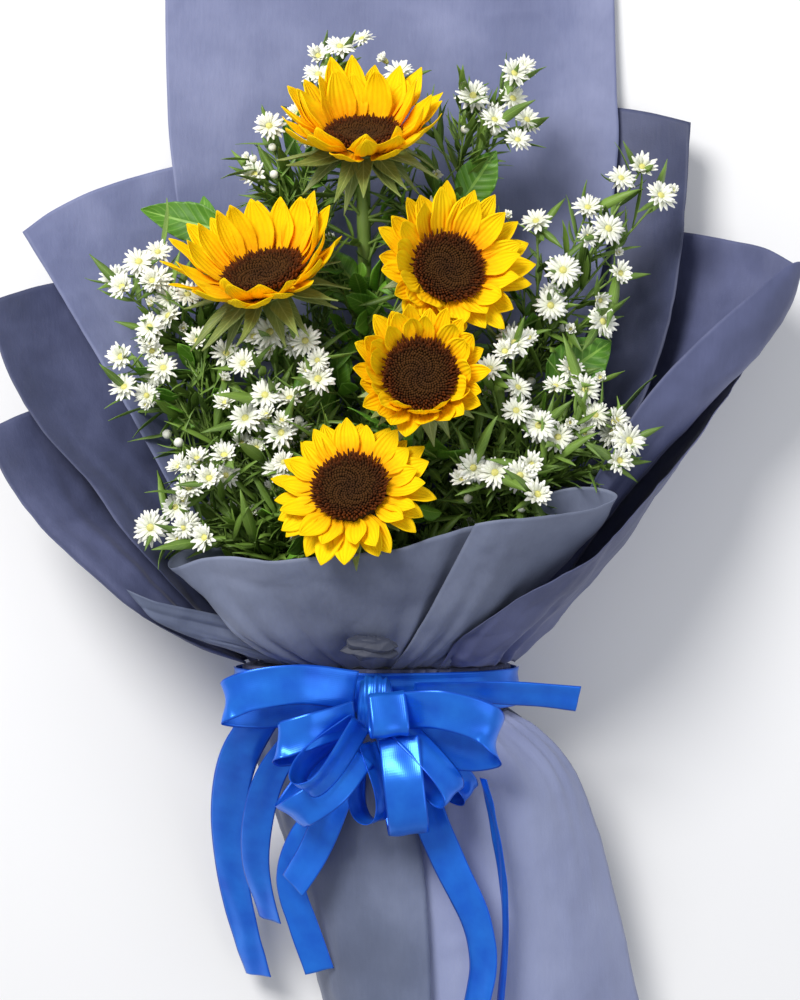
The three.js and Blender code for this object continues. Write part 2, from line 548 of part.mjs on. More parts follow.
// ---------- assembly ----------
const colours = {
  petals: look(0xf7b40a, 0.6), disc: look(0x3a2414, 0.95), stem: look(0x5f8236, 0.6),
  aster: look(0xf4f4e6, 0.7), leaf: look(0x5a8a32, 0.6), paper: look(0x6a6fa0, 0.75),
  ribbon: look(0x1e64dc, 0.3), tie: look(0xc9b58c, 0.8),
};
const placed = [];

function clearOf(solid) {
  let result = solid;
  for (const other of placed) {
    const a = result.boundingBox();
    const b = other.box;
    const apart = [0, 1, 2].some((k) => a.min[k] > b.max[k] || b.min[k] > a.max[k]);
    if (!apart) result = result.subtract(other.grown);
  }
  const bodies = result.decompose();
  return bodies.reduce((best, body) => (body.volume() > best.volume() ? body : best), bodies[0]);
}

function place(name, build, material) {
  const solid = clearOf(build(0));
  const grown = build(gap);
  placed.push({ name, solid, grown, box: grown.boundingBox(), material });
}

for (const [name, head] of Object.entries(heads)) {
  place(`sunflower_${name}_disc`, (grow) => disc(head, grow), colours.disc);
}
for (const [name, head] of Object.entries(heads)) {
  place(`sunflower_${name}_petals`, (grow) => petals(head, grow), colours.petals);
  place(`sunflower_${name}_stem`, (grow) => headStem(head, grow), colours.stem);
}
for (const [name, sheetRows] of Object.entries(papers)) {
  place(name, (grow) => paper(sheetRows, grow), colours.paper);
}
place('stem_tie', stemTie, colours.tie);
for (const [name, cluster] of Object.entries(sprays)) {
  place(`aster_spray_${name}`, (grow) => spray(cluster, grow), colours.aster);
}
place('gathered_paper', gatheredPaper, colours.paper);
place('ribbon_knot', knot, colours.ribbon);
for (const [name, ribbon] of Object.entries(ribbons)) {
  place(name, (grow) => strip(ribbon, grow), colours.ribbon);
}
place('paper_tuck', tuck, colours.paper);
for (const [name, shape] of Object.entries(leaves)) {
  place(name, (grow) => leaf(shape, grow), colours.leaf);
}

const bunch = new THREE.Group();
for (const { name, solid, material } of placed) {
  const mesh = new THREE.Mesh(meshOf(solid), material);
  mesh.name = name;
  bunch.add(mesh);
}

// The frame's origin is under the middle of the bunch, on the table.
const box = new THREE.Box3().setFromObject(bunch);
bunch.position.set(-(box.min.x + box.max.x) / 2, -(box.min.y + box.max.y) / 2, -box.min.z);
const group = new THREE.Group();
group.add(bunch);

export default group;
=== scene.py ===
import math
import random
import bmesh
import bpy
import numpy as np
from mathutils import Matrix, Vector, noise


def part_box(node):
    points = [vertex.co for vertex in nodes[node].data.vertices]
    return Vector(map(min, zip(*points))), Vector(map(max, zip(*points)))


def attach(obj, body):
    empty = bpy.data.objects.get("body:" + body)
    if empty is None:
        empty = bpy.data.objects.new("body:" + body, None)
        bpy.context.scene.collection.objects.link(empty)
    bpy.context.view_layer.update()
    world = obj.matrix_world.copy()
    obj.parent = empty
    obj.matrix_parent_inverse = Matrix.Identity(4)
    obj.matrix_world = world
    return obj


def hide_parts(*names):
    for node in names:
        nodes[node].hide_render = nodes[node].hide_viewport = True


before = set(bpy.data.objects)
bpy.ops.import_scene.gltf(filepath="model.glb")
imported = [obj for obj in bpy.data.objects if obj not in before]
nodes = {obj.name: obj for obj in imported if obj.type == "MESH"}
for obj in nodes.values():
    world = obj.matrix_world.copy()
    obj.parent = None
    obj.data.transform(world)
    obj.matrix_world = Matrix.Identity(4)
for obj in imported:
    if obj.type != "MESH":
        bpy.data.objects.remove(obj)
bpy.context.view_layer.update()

# Metres. +Y runs from the tie to the heads, +Z is up from the table.
mm = 0.001
scene = bpy.context.scene
up = Vector((0, 0, 1))
noise.seed_set(7)  # without it, vector noise starts from the clock and each run differs

# camera, floor and light
view = {"over": (0.005, -0.0099), "height": 1.31, "lens": 68.2, "sensor": 36.0}
light = {"key": 40.0, "fill": 6.0, "room": 0.5, "floor": 0.86}

camera = bpy.data.objects.new("camera", bpy.data.cameras.new("camera"))
camera.data.sensor_width = view["sensor"]
camera.data.lens = view["lens"]
camera.location = (*view["over"], view["height"])
scene.collection.objects.link(camera)
scene.camera = camera


def softLight(name, place, aim, size, power, colour):
    lamp = bpy.data.objects.new(name, bpy.data.lights.new(name, "AREA"))
    lamp.data.shape = "DISK"
    lamp.data.size = size
    lamp.data.energy = power
    lamp.data.color = colour
    lamp.location = place
    lamp.rotation_euler = (Vector(aim) - Vector(place)).to_track_quat("-Z", "Y").to_euler()
    scene.collection.objects.link(lamp)


softLight("keyLight", (-0.8, 1.1, 1.6), (0, 0.05, 0.05), 0.9, light["key"], (1, 0.985, 0.96))
softLight("fillLight", (1.3, -0.5, 1.4), (0, 0, 0.05), 1.4, light["fill"], (0.92, 0.95, 1))
world = bpy.data.worlds.new("room")
world.use_nodes = True
world.node_tree.nodes["Background"].inputs["Color"].default_value = (0.94, 0.96, 1, 1)
world.node_tree.nodes["Background"].inputs["Strength"].default_value = light["room"]
scene.world = world
scene.view_settings.view_transform = "Standard"
print("camera and lights ready")


# node-tree helpers
def addNode(tree, kind, inputs=(), **settings):
    made = tree.nodes.new(kind)
    for name, value in settings.items():
        setattr(made, name, value)
    for key, value in dict(inputs).items():
        if isinstance(value, bpy.types.NodeSocket):
            tree.links.new(value, made.inputs[key])
        else:
            made.inputs[key].default_value = value
    return made


def maths(tree, operation, *values):
    return addNode(tree, "ShaderNodeMath", dict(enumerate(values)), operation=operation).outputs[0]


def tint(red, green, blue):  # everyday 0-255 colour to linear light
    return tuple(((c / 255 + 0.055) / 1.055) ** 2.4 if c > 10 else c / 3295 for c in (red, green, blue)) + (1,)


def ramp(tree, factor, stops):
    made = addNode(tree, "ShaderNodeValToRGB", {0: factor})
    elements = made.color_ramp.elements
    while len(elements) < len(stops):
        elements.new(0.5)
    for element, (place, colour) in zip(elements, stops):
        element.position = place
        element.color = colour
    return made.outputs[0]


def mixed(tree, factor, first, second, blend="MIX"):
    made = addNode(tree, "ShaderNodeMix", data_type="RGBA", blend_type=blend)
    for key, value in ((0, factor), (6, first), (7, second)):
        if isinstance(value, bpy.types.NodeSocket):
            tree.links.new(value, made.inputs[key])
        else:
            made.inputs[key].default_value = value
    return made.outputs[2]


def newMaterial(name, **shading):
    made = bpy.data.materials.new(name)
    made.use_nodes = True
    tree = made.node_tree
    shader = tree.nodes["Principled BSDF"]
    for label, value in shading.items():
        shader.inputs[label.replace("_", " ")].default_value = value
    return made, tree, shader


def attribute(tree, name):
    return addNode(tree, "ShaderNodeAttribute", attribute_name=name).outputs["Fac"]


def objectNoise(tree, scale, detail=4, stretch=(1, 1, 1)):
    place = addNode(tree, "ShaderNodeTexCoord").outputs["Object"]
    sized = addNode(tree, "ShaderNodeMapping", {"Vector": place, "Scale": stretch}).outputs[0]
    return addNode(tree, "ShaderNodeTexNoise", {"Vector": sized, "Scale": scale, "Detail": detail}).outputs[0]


def bumped(tree, shader, height, distance, strength=1.0):
    bump = addNode(tree, "ShaderNodeBump", {"Height": height, "Distance": distance, "Strength": strength})
    tree.links.new(bump.outputs[0], shader.inputs["Normal"])


# materials
def petalMaterial(name, base, middle, tip):
    made, tree, shader = newMaterial(name, Roughness=0.75, Specular_IOR_Level=0.12)
    along = attribute(tree, "along")
    across = attribute(tree, "across")
    veins = maths(tree, "SINE", maths(tree, "MULTIPLY", across, 17.0))
    streak = objectNoise(tree, 260, 3)
    reach = maths(tree, "ADD", along, maths(tree, "MULTIPLY", maths(tree, "SUBTRACT", streak, 0.5), 0.35))
    body = ramp(tree, reach, [(0.0, base), (0.28, middle), (0.66, tip)])
    toned = mixed(tree, maths(tree, "MULTIPLY", maths(tree, "SUBTRACT", 1.0, attribute(tree, "tone")), 0.7), body, tip)
    lined = mixed(tree, maths(tree, "MULTIPLY", maths(tree, "MAXIMUM", veins, 0.0), 0.14), toned, base)
    tree.links.new(lined, shader.inputs["Base Color"])
    bumped(tree, shader, maths(tree, "ADD", veins, streak), 0.0004, 0.5)
    return made


def discMaterial():
    made, tree, shader = newMaterial("seedFlorets", Roughness=0.85, Specular_IOR_Level=0.15)
    ring = attribute(tree, "ring")
    spread = maths(tree, "ADD", ring, maths(tree, "MULTIPLY", maths(tree, "SUBTRACT", attribute(tree, "tone"), 0.5), 0.2))
    body = ramp(tree, spread, [(0.0, tint(30, 24, 15)), (0.28, tint(46, 33, 17)), (0.6, tint(62, 42, 18)),
                               (0.8, tint(40, 19, 8)), (0.97, tint(92, 42, 10))])
    tip = mixed(tree, maths(tree, "MULTIPLY", attribute(tree, "along"), 0.2), body, tint(130, 70, 20))
    tree.links.new(tip, shader.inputs["Base Color"])
    bumped(tree, shader, objectNoise(tree, 900, 2), 0.0003, 0.6)
    return made


def asterMaterial():
    made, tree, shader = newMaterial("asterBloom", Roughness=0.6, Sheen_Weight=0.1)
    core = attribute(tree, "core")
    white = mixed(tree, attribute(tree, "along"), tint(232, 236, 205), tint(254, 254, 247))
    body = mixed(tree, core, white, mixed(tree, objectNoise(tree, 900, 2), tint(200, 190, 70), tint(228, 226, 150)))
    tree.links.new(body, shader.inputs["Base Color"])
    bumped(tree, shader, maths(tree, "SINE", maths(tree, "MULTIPLY", attribute(tree, "across"), 9.0)), 0.0001, 0.5)
    return made


def greenMaterial(name, dark, light, vein, rough=0.5):
    made, tree, shader = newMaterial(name, Roughness=rough)
    patch = objectNoise(tree, 70, 5)
    across = attribute(tree, "across")
    along = attribute(tree, "along")
    body = mixed(tree, maths(tree, "ADD", maths(tree, "MULTIPLY", patch, 0.55),
                             maths(tree, "MULTIPLY", attribute(tree, "tone"), 0.5)), dark, light)
    side = maths(tree, "ABSOLUTE", across)
    chevrons = maths(tree, "SINE", maths(tree, "MULTIPLY", maths(tree, "SUBTRACT", along, maths(tree, "MULTIPLY", side, 0.22)), 60.0))
    ribs = maths(tree, "MULTIPLY", maths(tree, "GREATER_THAN", chevrons, 0.86), 0.4)
    midrib = maths(tree, "LESS_THAN", side, 0.07)
    veined = mixed(tree, maths(tree, "MULTIPLY", maths(tree, "MAXIMUM", ribs, midrib), 0.6), body, vein)
    tree.links.new(veined, shader.inputs["Base Color"])
    bumped(tree, shader, maths(tree, "SUBTRACT", patch, maths(tree, "MULTIPLY", midrib, 0.6)), 0.0006, 0.6)
    return made


def paperMaterial(name, shade, main, lightTone):
    made, tree, shader = newMaterial(name, Roughness=0.62, Sheen_Weight=0.12, Sheen_Roughness=0.45)
    cloud = objectNoise(tree, 9, 5)
    fibre = objectNoise(tree, 420, 4, (1, 0.18, 1))
    speck = objectNoise(tree, 900, 2)
    body = ramp(tree, maths(tree, "ADD", cloud, maths(tree, "MULTIPLY", maths(tree, "SUBTRACT", fibre, 0.5), 0.07)),
                [(0.3, shade), (0.5, main), (0.72, lightTone)])
    tree.links.new(mixed(tree, maths(tree, "MULTIPLY", attribute(tree, "crease"), 0.07), body, lightTone),
                   shader.inputs["Base Color"])
    bumped(tree, shader, maths(tree, "ADD", fibre, maths(tree, "MULTIPLY", speck, 0.5)), 0.0003, 0.55)
    return made


def ribbonMaterial():
    made, tree, shader = newMaterial("satinRibbon", Roughness=0.3, Metallic=0.5, Specular_IOR_Level=0.5)
    place = addNode(tree, "ShaderNodeUVMap", uv_map="UVMap").outputs[0]
    split = addNode(tree, "ShaderNodeSeparateXYZ", {0: place})
    threads = maths(tree, "SINE", maths(tree, "MULTIPLY", split.outputs[1], 5200.0))
    weave = maths(tree, "SINE", maths(tree, "MULTIPLY", split.outputs[0], 3600.0))
    # the colour wanders at random between deep blue and pale blue: painted shade and painted highlight on the satin
    drift = addNode(tree, "ShaderNodeTexNoise", {"Vector": place, "Scale": 45.0, "Detail": 3.0}).outputs[0]
    body = mixed(tree, drift, tint(4, 66, 200), tint(44, 142, 252))
    edge = maths(tree, "GREATER_THAN", maths(tree, "ABSOLUTE", attribute(tree, "across")), 0.93)
    tree.links.new(mixed(tree, maths(tree, "MULTIPLY", edge, 0.5), body, tint(8, 60, 190)), shader.inputs["Base Color"])
    bumped(tree, shader, maths(tree, "ADD", threads, maths(tree, "MULTIPLY", weave, 0.5)), 0.00004, 0.2)
    return made


def twineMaterial():
    made, tree, shader = newMaterial("twine", Roughness=0.85)
    tree.links.new(mixed(tree, objectNoise(tree, 500, 4), tint(150, 130, 90), tint(212, 196, 156)), shader.inputs["Base Color"])
    bumped(tree, shader, objectNoise(tree, 900, 3, (1, 4, 1)), 0.0006, 0.8)
    return made


materials = {
    "petal": petalMaterial("petalYellow", tint(234, 116, 0), tint(253, 168, 0), tint(255, 214, 4)),
    "disc": discMaterial(),
    "aster": asterMaterial(),
    "stem": greenMaterial("freshStem", tint(64, 98, 34), tint(138, 170, 66), tint(150, 180, 88)),
    "foliage": greenMaterial("asterFoliage", tint(54, 84, 28), tint(132, 166, 66), tint(138, 172, 80)),
    "bract": greenMaterial("sunflowerBract", tint(84, 104, 42), tint(156, 168, 88), tint(176, 188, 112)),
    "leaf": greenMaterial("brightLeaf", tint(58, 112, 20), tint(124, 180, 50), tint(160, 204, 92)),
    "paper": paperMaterial("wrapPaper", tint(62, 68, 100), tint(80, 86, 122), tint(104, 110, 150)),
    # painted shade: a darker copy of the same wrap paper, for the left middle, left lower and right upper sheets whose
    # folds lie in shade
    "paperPaintedShade": paperMaterial("wrapPaperDeep", tint(46, 52, 78), tint(64, 70, 102), tint(92, 98, 134)),
    # painted light: a lighter copy of the same wrap paper, for the back panel and the upper left sheet, where the light
    # falls most
    "paperPaintedLight": paperMaterial("wrapPaperBack", tint(90, 97, 134), tint(108, 115, 152), tint(136, 142, 178)),
    "paperPale": paperMaterial("wrapPaperPale", tint(116, 124, 158), tint(134, 142, 178), tint(150, 158, 192)),
    "paperGrey": paperMaterial("wrapPaperGrey", tint(74, 82, 104), tint(92, 101, 126), tint(118, 127, 154)),
    "paperCollar": paperMaterial("wrapPaperCollar", tint(86, 93, 116), tint(112, 120, 144), tint(136, 144, 170)),
    # painted shade: a dark copy of the paper for the paper tuck, standing for the shadowed hollow at the waist
    "paperHollowShade": paperMaterial("wrapPaperShaded", tint(40, 45, 62), tint(56, 62, 82), tint(88, 95, 120)),
    "ribbon": ribbonMaterial(),
    "twine": twineMaterial(),
}
print("materials ready")


# mesh helpers
def shellMesh(name, grid, thickness, material, marks=None, closed=False):
    # a closed thin shell round a grid of points: rows run along it, columns across it
    rows, columns = grid.shape[:2]
    alongWay = np.gradient(grid, axis=0)
    acrossWay = np.gradient(grid, axis=1)
    if closed:
        acrossWay[:, 0] = acrossWay[:, -1] = grid[:, 1] - grid[:, -2]
    normal = np.cross(acrossWay, alongWay)
    normal /= np.maximum(np.linalg.norm(normal, axis=2, keepdims=True), 1e-12)
    points = np.concatenate([(grid + side * normal * thickness / 2).reshape(-1, 3) for side in (1, -1)])
    number = np.arange(rows * columns).reshape(rows, columns)
    other = number + rows * columns
    quads = [np.stack([number[:-1, :-1], number[:-1, 1:], number[1:, 1:], number[1:, :-1]], axis=-1).reshape(-1, 4),
             np.stack([other[:-1, :-1], other[1:, :-1], other[1:, 1:], other[:-1, 1:]], axis=-1).reshape(-1, 4)]
    rim = [(number[0, ::-1], other[0, ::-1]), (number[-1], other[-1])]
    if not closed:
        rim += [(number[:, 0], other[:, 0]), (number[::-1, -1], other[::-1, -1])]
    for inner, outer in rim:
        quads.append(np.stack([inner[:-1], inner[1:], outer[1:], outer[:-1]], axis=-1))
    mesh = bpy.data.meshes.new(name)
    mesh.from_pydata(points.tolist(), [], np.concatenate(quads).tolist())
    alongShare, acrossShare = np.meshgrid(np.linspace(0, 1, rows), np.linspace(-1, 1, columns), indexing="ij")
    for label, values in {"along": alongShare, "across": acrossShare, **(marks or {})}.items():
        layer = mesh.attributes.new(label, "FLOAT", "POINT")
        layer.data.foreach_set("value", np.tile(values.reshape(-1), 2).astype(np.float32))
    far = np.linalg.norm(np.diff(grid, axis=0), axis=2).mean(axis=1)
    wide = np.linalg.norm(np.diff(grid, axis=1), axis=2).mean(axis=0)
    u, v = np.meshgrid(np.concatenate([[0], far.cumsum()]), np.concatenate([[0], wide.cumsum()]), indexing="ij")
    flat = np.tile(np.stack([u, v], axis=-1).reshape(-1, 2), (2, 1))
    corner = np.empty(len(mesh.loops), dtype=np.int32)
    mesh.loops.foreach_get("vertex_index", corner)
    mesh.uv_layers.new(name="UVMap").data.foreach_set("uv", flat[corner].reshape(-1).astype(np.float32))
    mesh.materials.append(material)
    if closed:
        work = bmesh.new()
        work.from_mesh(mesh)
        bmesh.ops.remove_doubles(work, verts=work.verts, dist=1e-6)
        work.to_mesh(mesh)
        work.free()
    return mesh


def finish(name, mesh, slot, *replaced):
    piece = bpy.data.objects.new(name, mesh)
    scene.collection.objects.link(piece)
    mesh.polygons.foreach_set("use_smooth", [True] * len(mesh.polygons))
    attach(piece, "root")
    if replaced:
        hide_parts(*replaced)
    return piece


def joined(meshes):  # several meshes as one, materials kept
    work = [bpy.data.objects.new(mesh.name, mesh) for mesh in meshes]
    for part in work:
        scene.collection.objects.link(part)
    with bpy.context.temp_override(active_object=work[0], selected_editable_objects=work):
        bpy.ops.object.join()
    mesh = work[0].data
    bpy.data.objects.remove(work[0])
    return mesh


def merged(name):
    work = bmesh.new()
    work.from_mesh(nodes[name].data)
    bmesh.ops.remove_doubles(work, verts=work.verts, dist=1e-6)
    return work


def splineWeights(count, steps):  # carries `count` points to steps + 1 points on a smooth curve through them
    weights = np.zeros((steps + 1, count))
    for row, place in enumerate(np.linspace(0, count - 1, steps + 1)):
        k = min(int(place), count - 2)
        f = place - k
        shares = (-f**3 + 2 * f**2 - f, 3 * f**3 - 5 * f**2 + 2, -3 * f**3 + 4 * f**2 + f, f**3 - f**2)
        for at, share in zip(range(k - 1, k + 3), shares):
            inside = min(max(at, 0), count - 1)
            if at == inside:
                weights[row, at] += share / 2
            else:  # past an end the curve goes straight on
                weights[row, inside] += share
                weights[row, inside + (1 if at < 0 else -1)] -= share / 2
    return weights


def refined(grid, alongSteps, acrossSteps):
    alongWeights = splineWeights(grid.shape[0], alongSteps)
    acrossWeights = splineWeights(grid.shape[1], acrossSteps)
    return np.einsum("ai,ijk,bj->abk", alongWeights, grid, acrossWeights)


def sheetGrid(name, wall, startsAt):
    # rows of points over one face of a thin node; the first row is the side nearest to startsAt
    work = merged(name)
    rim = [f for f in work.faces if any(abs(e.calc_length() - wall) < 0.02 * wall for e in f.edges)]
    bmesh.ops.delete(work, geom=rim, context="FACES_ONLY")
    best, seen = [], set()
    for face in work.faces:
        if face in seen:
            continue
        island, stack = [], [face]
        seen.add(face)
        while stack:
            island.append(stack.pop())
            for near in {f for e in island[-1].edges for f in e.link_faces} - seen:
                seen.add(near)
                stack.append(near)
        height = sum(f.calc_center_median().z for f in island) / len(island)
        best.append((len(island) > 12, height, len(best), island))
    faces = set(max(best)[3])
    bmesh.ops.delete(work, geom=[f for f in work.faces if f not in faces], context="FACES")
    edges = [e for e in work.edges if len(e.link_faces) == 1]
    loop = [edges[0].verts[0], edges[0].verts[1]]
    while len(loop) < len(edges):
        after = [e.other_vert(loop[-1]) for e in loop[-1].link_edges if len(e.link_faces) == 1]
        loop.append(after[0] if after[0] is not loop[-2] else after[1])
    corners = [i for i, v in enumerate(loop) if len(v.link_faces) < 3]
    if len(corners) != 4:
        raise RuntimeError(f"{name}: {len(corners)} corners")
    turned = loop * 2
    sides = []
    for first, last in zip(corners, corners[1:] + [corners[0] + len(loop)]):
        side = turned[first:last + 1]
        distance = sum((v.co - startsAt).length for v in side) / len(side)
        sides.append((distance, first, side))
    distance, first, row = min(sides, key=lambda s: s[:2])
    railSide = turned[first + len(loop) - 1::-1] if first else loop[::-1]
    rail = railSide[:]
    rows, visited = [row], set()
    steps = len(loop) // 2 - (len(row) - 1)
    for step in range(steps):
        fresh = [rail[step]]
        for a, b in zip(row, row[1:]):
            shared = next(e for e in a.link_edges if e.other_vert(a) is b)
            face = next(f for f in shared.link_faces if f not in visited)
            visited.add(face)
            third = next(v for v in face.verts if v not in (a, b))
            pair = (third, b) if third is fresh[-1] else (a, third)
            across = next(e for e in pair[0].link_edges if e.other_vert(pair[0]) is pair[1])
            second = next(f for f in across.link_faces if f not in visited)
            visited.add(second)
            fresh.append(next(v for v in second.verts if v not in pair) if third is fresh[-1] else third)
        rows.append(fresh)
        row = fresh
    grid = np.array([[tuple(v.co) for v in r] for r in rows])
    work.free()
    return grid


def frameAt(place, axis):  # +Z along axis, +Y away from the tie
    axis = Vector(axis).normalized()
    away = (Vector((0, 1, 0)) - axis * axis.y).normalized()
    turn = Matrix((away.cross(axis), away, axis)).transposed()
    return Matrix.Translation(place) @ turn.to_4x4()


# geometry-node helpers
def newTree(name, inputs):
    tree = bpy.data.node_groups.new(name, "GeometryNodeTree")
    tree.interface.new_socket("Geometry", in_out="OUTPUT", socket_type="NodeSocketGeometry")
    tree.interface.new_socket("Geometry", in_out="INPUT", socket_type="NodeSocketGeometry")
    for label, kind in inputs.items():
        tree.interface.new_socket(label, in_out="INPUT", socket_type="NodeSocket" + kind)
    return tree, tree.nodes.new("NodeGroupInput").outputs, tree.nodes.new("NodeGroupOutput").inputs


def grow(tree, base, **values):  # runs a tree on a mesh and gives the plain mesh it makes
    holder = bpy.data.objects.new(tree.name, base)
    scene.collection.objects.link(holder)
    modifier = holder.modifiers.new("grow", "NODES")
    modifier.node_group = tree
    for item in tree.interface.items_tree:
        if item.in_out == "INPUT" and item.name in values:
            modifier[item.identifier] = values[item.name]
    mesh = bpy.data.meshes.new_from_object(holder.evaluated_get(bpy.context.evaluated_depsgraph_get()))
    holder.modifiers.remove(modifier)
    bpy.data.objects.remove(holder)
    return mesh


def chance(tree, seed, salt, low, high):
    return addNode(tree, "FunctionNodeRandomValue", {2: low, 3: high, 8: maths(tree, "ADD", seed, float(salt))},
                   data_type="FLOAT").outputs[1]


def vector(tree, x, y, z):
    return addNode(tree, "ShaderNodeCombineXYZ", {0: x, 1: y, 2: z}).outputs[0]


def marked(tree, geometry, name, value):
    return addNode(tree, "GeometryNodeStoreNamedAttribute", {"Geometry": geometry, "Name": name, "Value": value},
                   data_type="FLOAT", domain="INSTANCE").outputs[0]


def shapeSet(name, meshes):  # a collection of shapes that a tree picks from
    made = bpy.data.collections.new(name)
    for number, mesh in enumerate(meshes):
        made.objects.link(bpy.data.objects.new(f"{name}{number:02d}", mesh))
    return made


def emptyMesh():
    mesh = bpy.data.meshes.new("seedPoint")
    mesh.from_pydata([(0, 0, 0)], [], [])
    return mesh


def whorlTree():
    # petals or bracts round a head; Toward is the direction in which Lean, Bow and Stretch act
    tree, give, take = newTree("petalWhorl", {
        "Shapes": "Collection", "Kinds": "Float", "Count": "Int", "Radius": "Float", "Lift": "Float", "Lean": "Float",
        "Toward": "Float", "Bend": "Float", "Bow": "Float", "Size": "Float", "Broad": "Float", "Stretch": "Float",
        "Seed": "Int", "Finish": "Material"})
    seed = give["Seed"]
    index = addNode(tree, "GeometryNodeInputIndex").outputs[0]
    turn = maths(tree, "ADD", index, chance(tree, seed, 1, -0.3, 0.3))
    angle = maths(tree, "MULTIPLY", turn, maths(tree, "DIVIDE", 2 * math.pi, give["Count"]))
    side = maths(tree, "COSINE", maths(tree, "SUBTRACT", angle, give["Toward"]))
    place = vector(tree, maths(tree, "MULTIPLY", give["Radius"], maths(tree, "COSINE", angle)),
                   maths(tree, "MULTIPLY", give["Radius"], maths(tree, "SINE", angle)), chance(tree, seed, 2, -0.0007, 0.0007))
    points = addNode(tree, "GeometryNodePoints", {"Count": give["Count"], "Position": place}).outputs[0]
    lift = maths(tree, "ADD", maths(tree, "MULTIPLY_ADD", give["Lean"], side, give["Lift"]), chance(tree, seed, 3, -0.14, 0.14))
    angles = vector(tree, chance(tree, seed, 4, -0.3, 0.3), maths(tree, "MULTIPLY", lift, -1.0), angle)
    turned = addNode(tree, "FunctionNodeEulerToRotation", {0: angles}).outputs[0]
    reach = maths(tree, "MULTIPLY", maths(tree, "MULTIPLY", give["Size"], maths(tree, "MULTIPLY_ADD", give["Stretch"], side, 1.0)),
                  chance(tree, seed, 5, 0.88, 1.1))
    breadth = maths(tree, "MULTIPLY", give["Broad"], chance(tree, seed, 6, 0.85, 1.15))
    kind = maths(tree, "ADD", maths(tree, "MULTIPLY_ADD", give["Bow"], side, give["Bend"]), chance(tree, seed, 7, -1.2, 1.2))
    kind = maths(tree, "MINIMUM", maths(tree, "MAXIMUM", kind, 0.0), maths(tree, "SUBTRACT", give["Kinds"], 1.0))
    kinds = addNode(tree, "GeometryNodeCollectionInfo", {"Collection": give["Shapes"], "Separate Children": True,
                                                         "Reset Children": True}).outputs[0]
    whole = addNode(tree, "FunctionNodeFloatToInt", {0: kind}, rounding_mode="ROUND").outputs[0]
    petals = addNode(tree, "GeometryNodeInstanceOnPoints", {
        "Points": points, "Instance": kinds, "Pick Instance": True, "Instance Index": whole,
        "Rotation": turned, "Scale": vector(tree, reach, breadth, reach)}).outputs[0]
    tone = maths(tree, "ADD", maths(tree, "MULTIPLY_ADD", side, 0.25, 0.4), chance(tree, seed, 8, -0.3, 0.35))
    real = addNode(tree, "GeometryNodeRealizeInstances", {0: marked(tree, petals, "tone", tone)}).outputs[0]
    tree.links.new(addNode(tree, "GeometryNodeSetMaterial", {"Geometry": real, "Material": give["Finish"]}).outputs[0], take[0])
    return tree


def discTree():
    # florets in a sunflower's spiral, short in the middle and long at the rim
    tree, give, take = newTree("seedSpiral", {"Florets": "Collection", "Count": "Int", "Radius": "Float", "Dome": "Float",
                                              "Seed": "Int", "Finish": "Material"})
    index = addNode(tree, "GeometryNodeInputIndex").outputs[0]
    share = maths(tree, "SQRT", maths(tree, "DIVIDE", maths(tree, "ADD", index, 0.5), give["Count"]))
    angle = maths(tree, "MULTIPLY", index, math.pi * (3 - math.sqrt(5)))
    out = maths(tree, "MULTIPLY", give["Radius"], share)
    rise = maths(tree, "SUBTRACT", maths(tree, "MULTIPLY_ADD", maths(tree, "POWER", share, 2.0), 0.45, 0.55),
                 maths(tree, "MULTIPLY", maths(tree, "POWER", share, 8.0), 0.45))
    place = vector(tree, maths(tree, "MULTIPLY", out, maths(tree, "COSINE", angle)),
                   maths(tree, "MULTIPLY", out, maths(tree, "SINE", angle)), maths(tree, "MULTIPLY", give["Dome"], rise))
    points = addNode(tree, "GeometryNodePoints", {"Count": give["Count"], "Position": place}).outputs[0]
    tip = maths(tree, "ADD", maths(tree, "MULTIPLY", maths(tree, "POWER", share, 3.0), 0.8), chance(tree, give["Seed"], 1, -0.2, 0.2))
    turned = addNode(tree, "FunctionNodeEulerToRotation", {0: vector(tree, chance(tree, give["Seed"], 4, -0.15, 0.15), tip, angle)}).outputs[0]
    tall = maths(tree, "MULTIPLY", maths(tree, "MULTIPLY_ADD", maths(tree, "POWER", share, 4.0), 1.1, 0.55),
                 chance(tree, give["Seed"], 2, 0.75, 1.25))
    florets = addNode(tree, "GeometryNodeCollectionInfo", {"Collection": give["Florets"], "Separate Children": True,
                                                           "Reset Children": True}).outputs[0]
    spikes = addNode(tree, "GeometryNodeInstanceOnPoints", {"Points": points, "Instance": florets, "Pick Instance": True,
                                                            "Rotation": turned, "Scale": vector(tree, 1.0, 1.0, tall)}).outputs[0]
    toned = marked(tree, marked(tree, spikes, "ring", share), "tone", chance(tree, give["Seed"], 3, 0.0, 1.0))
    real = addNode(tree, "GeometryNodeRealizeInstances", {0: toned}).outputs[0]
    tree.links.new(addNode(tree, "GeometryNodeSetMaterial", {"Geometry": real, "Material": give["Finish"]}).outputs[0], take[0])
    return tree


def namedValue(tree, name, kind="FLOAT"):
    return addNode(tree, "GeometryNodeInputNamedAttribute", {0: name}, data_type=kind).outputs[0]


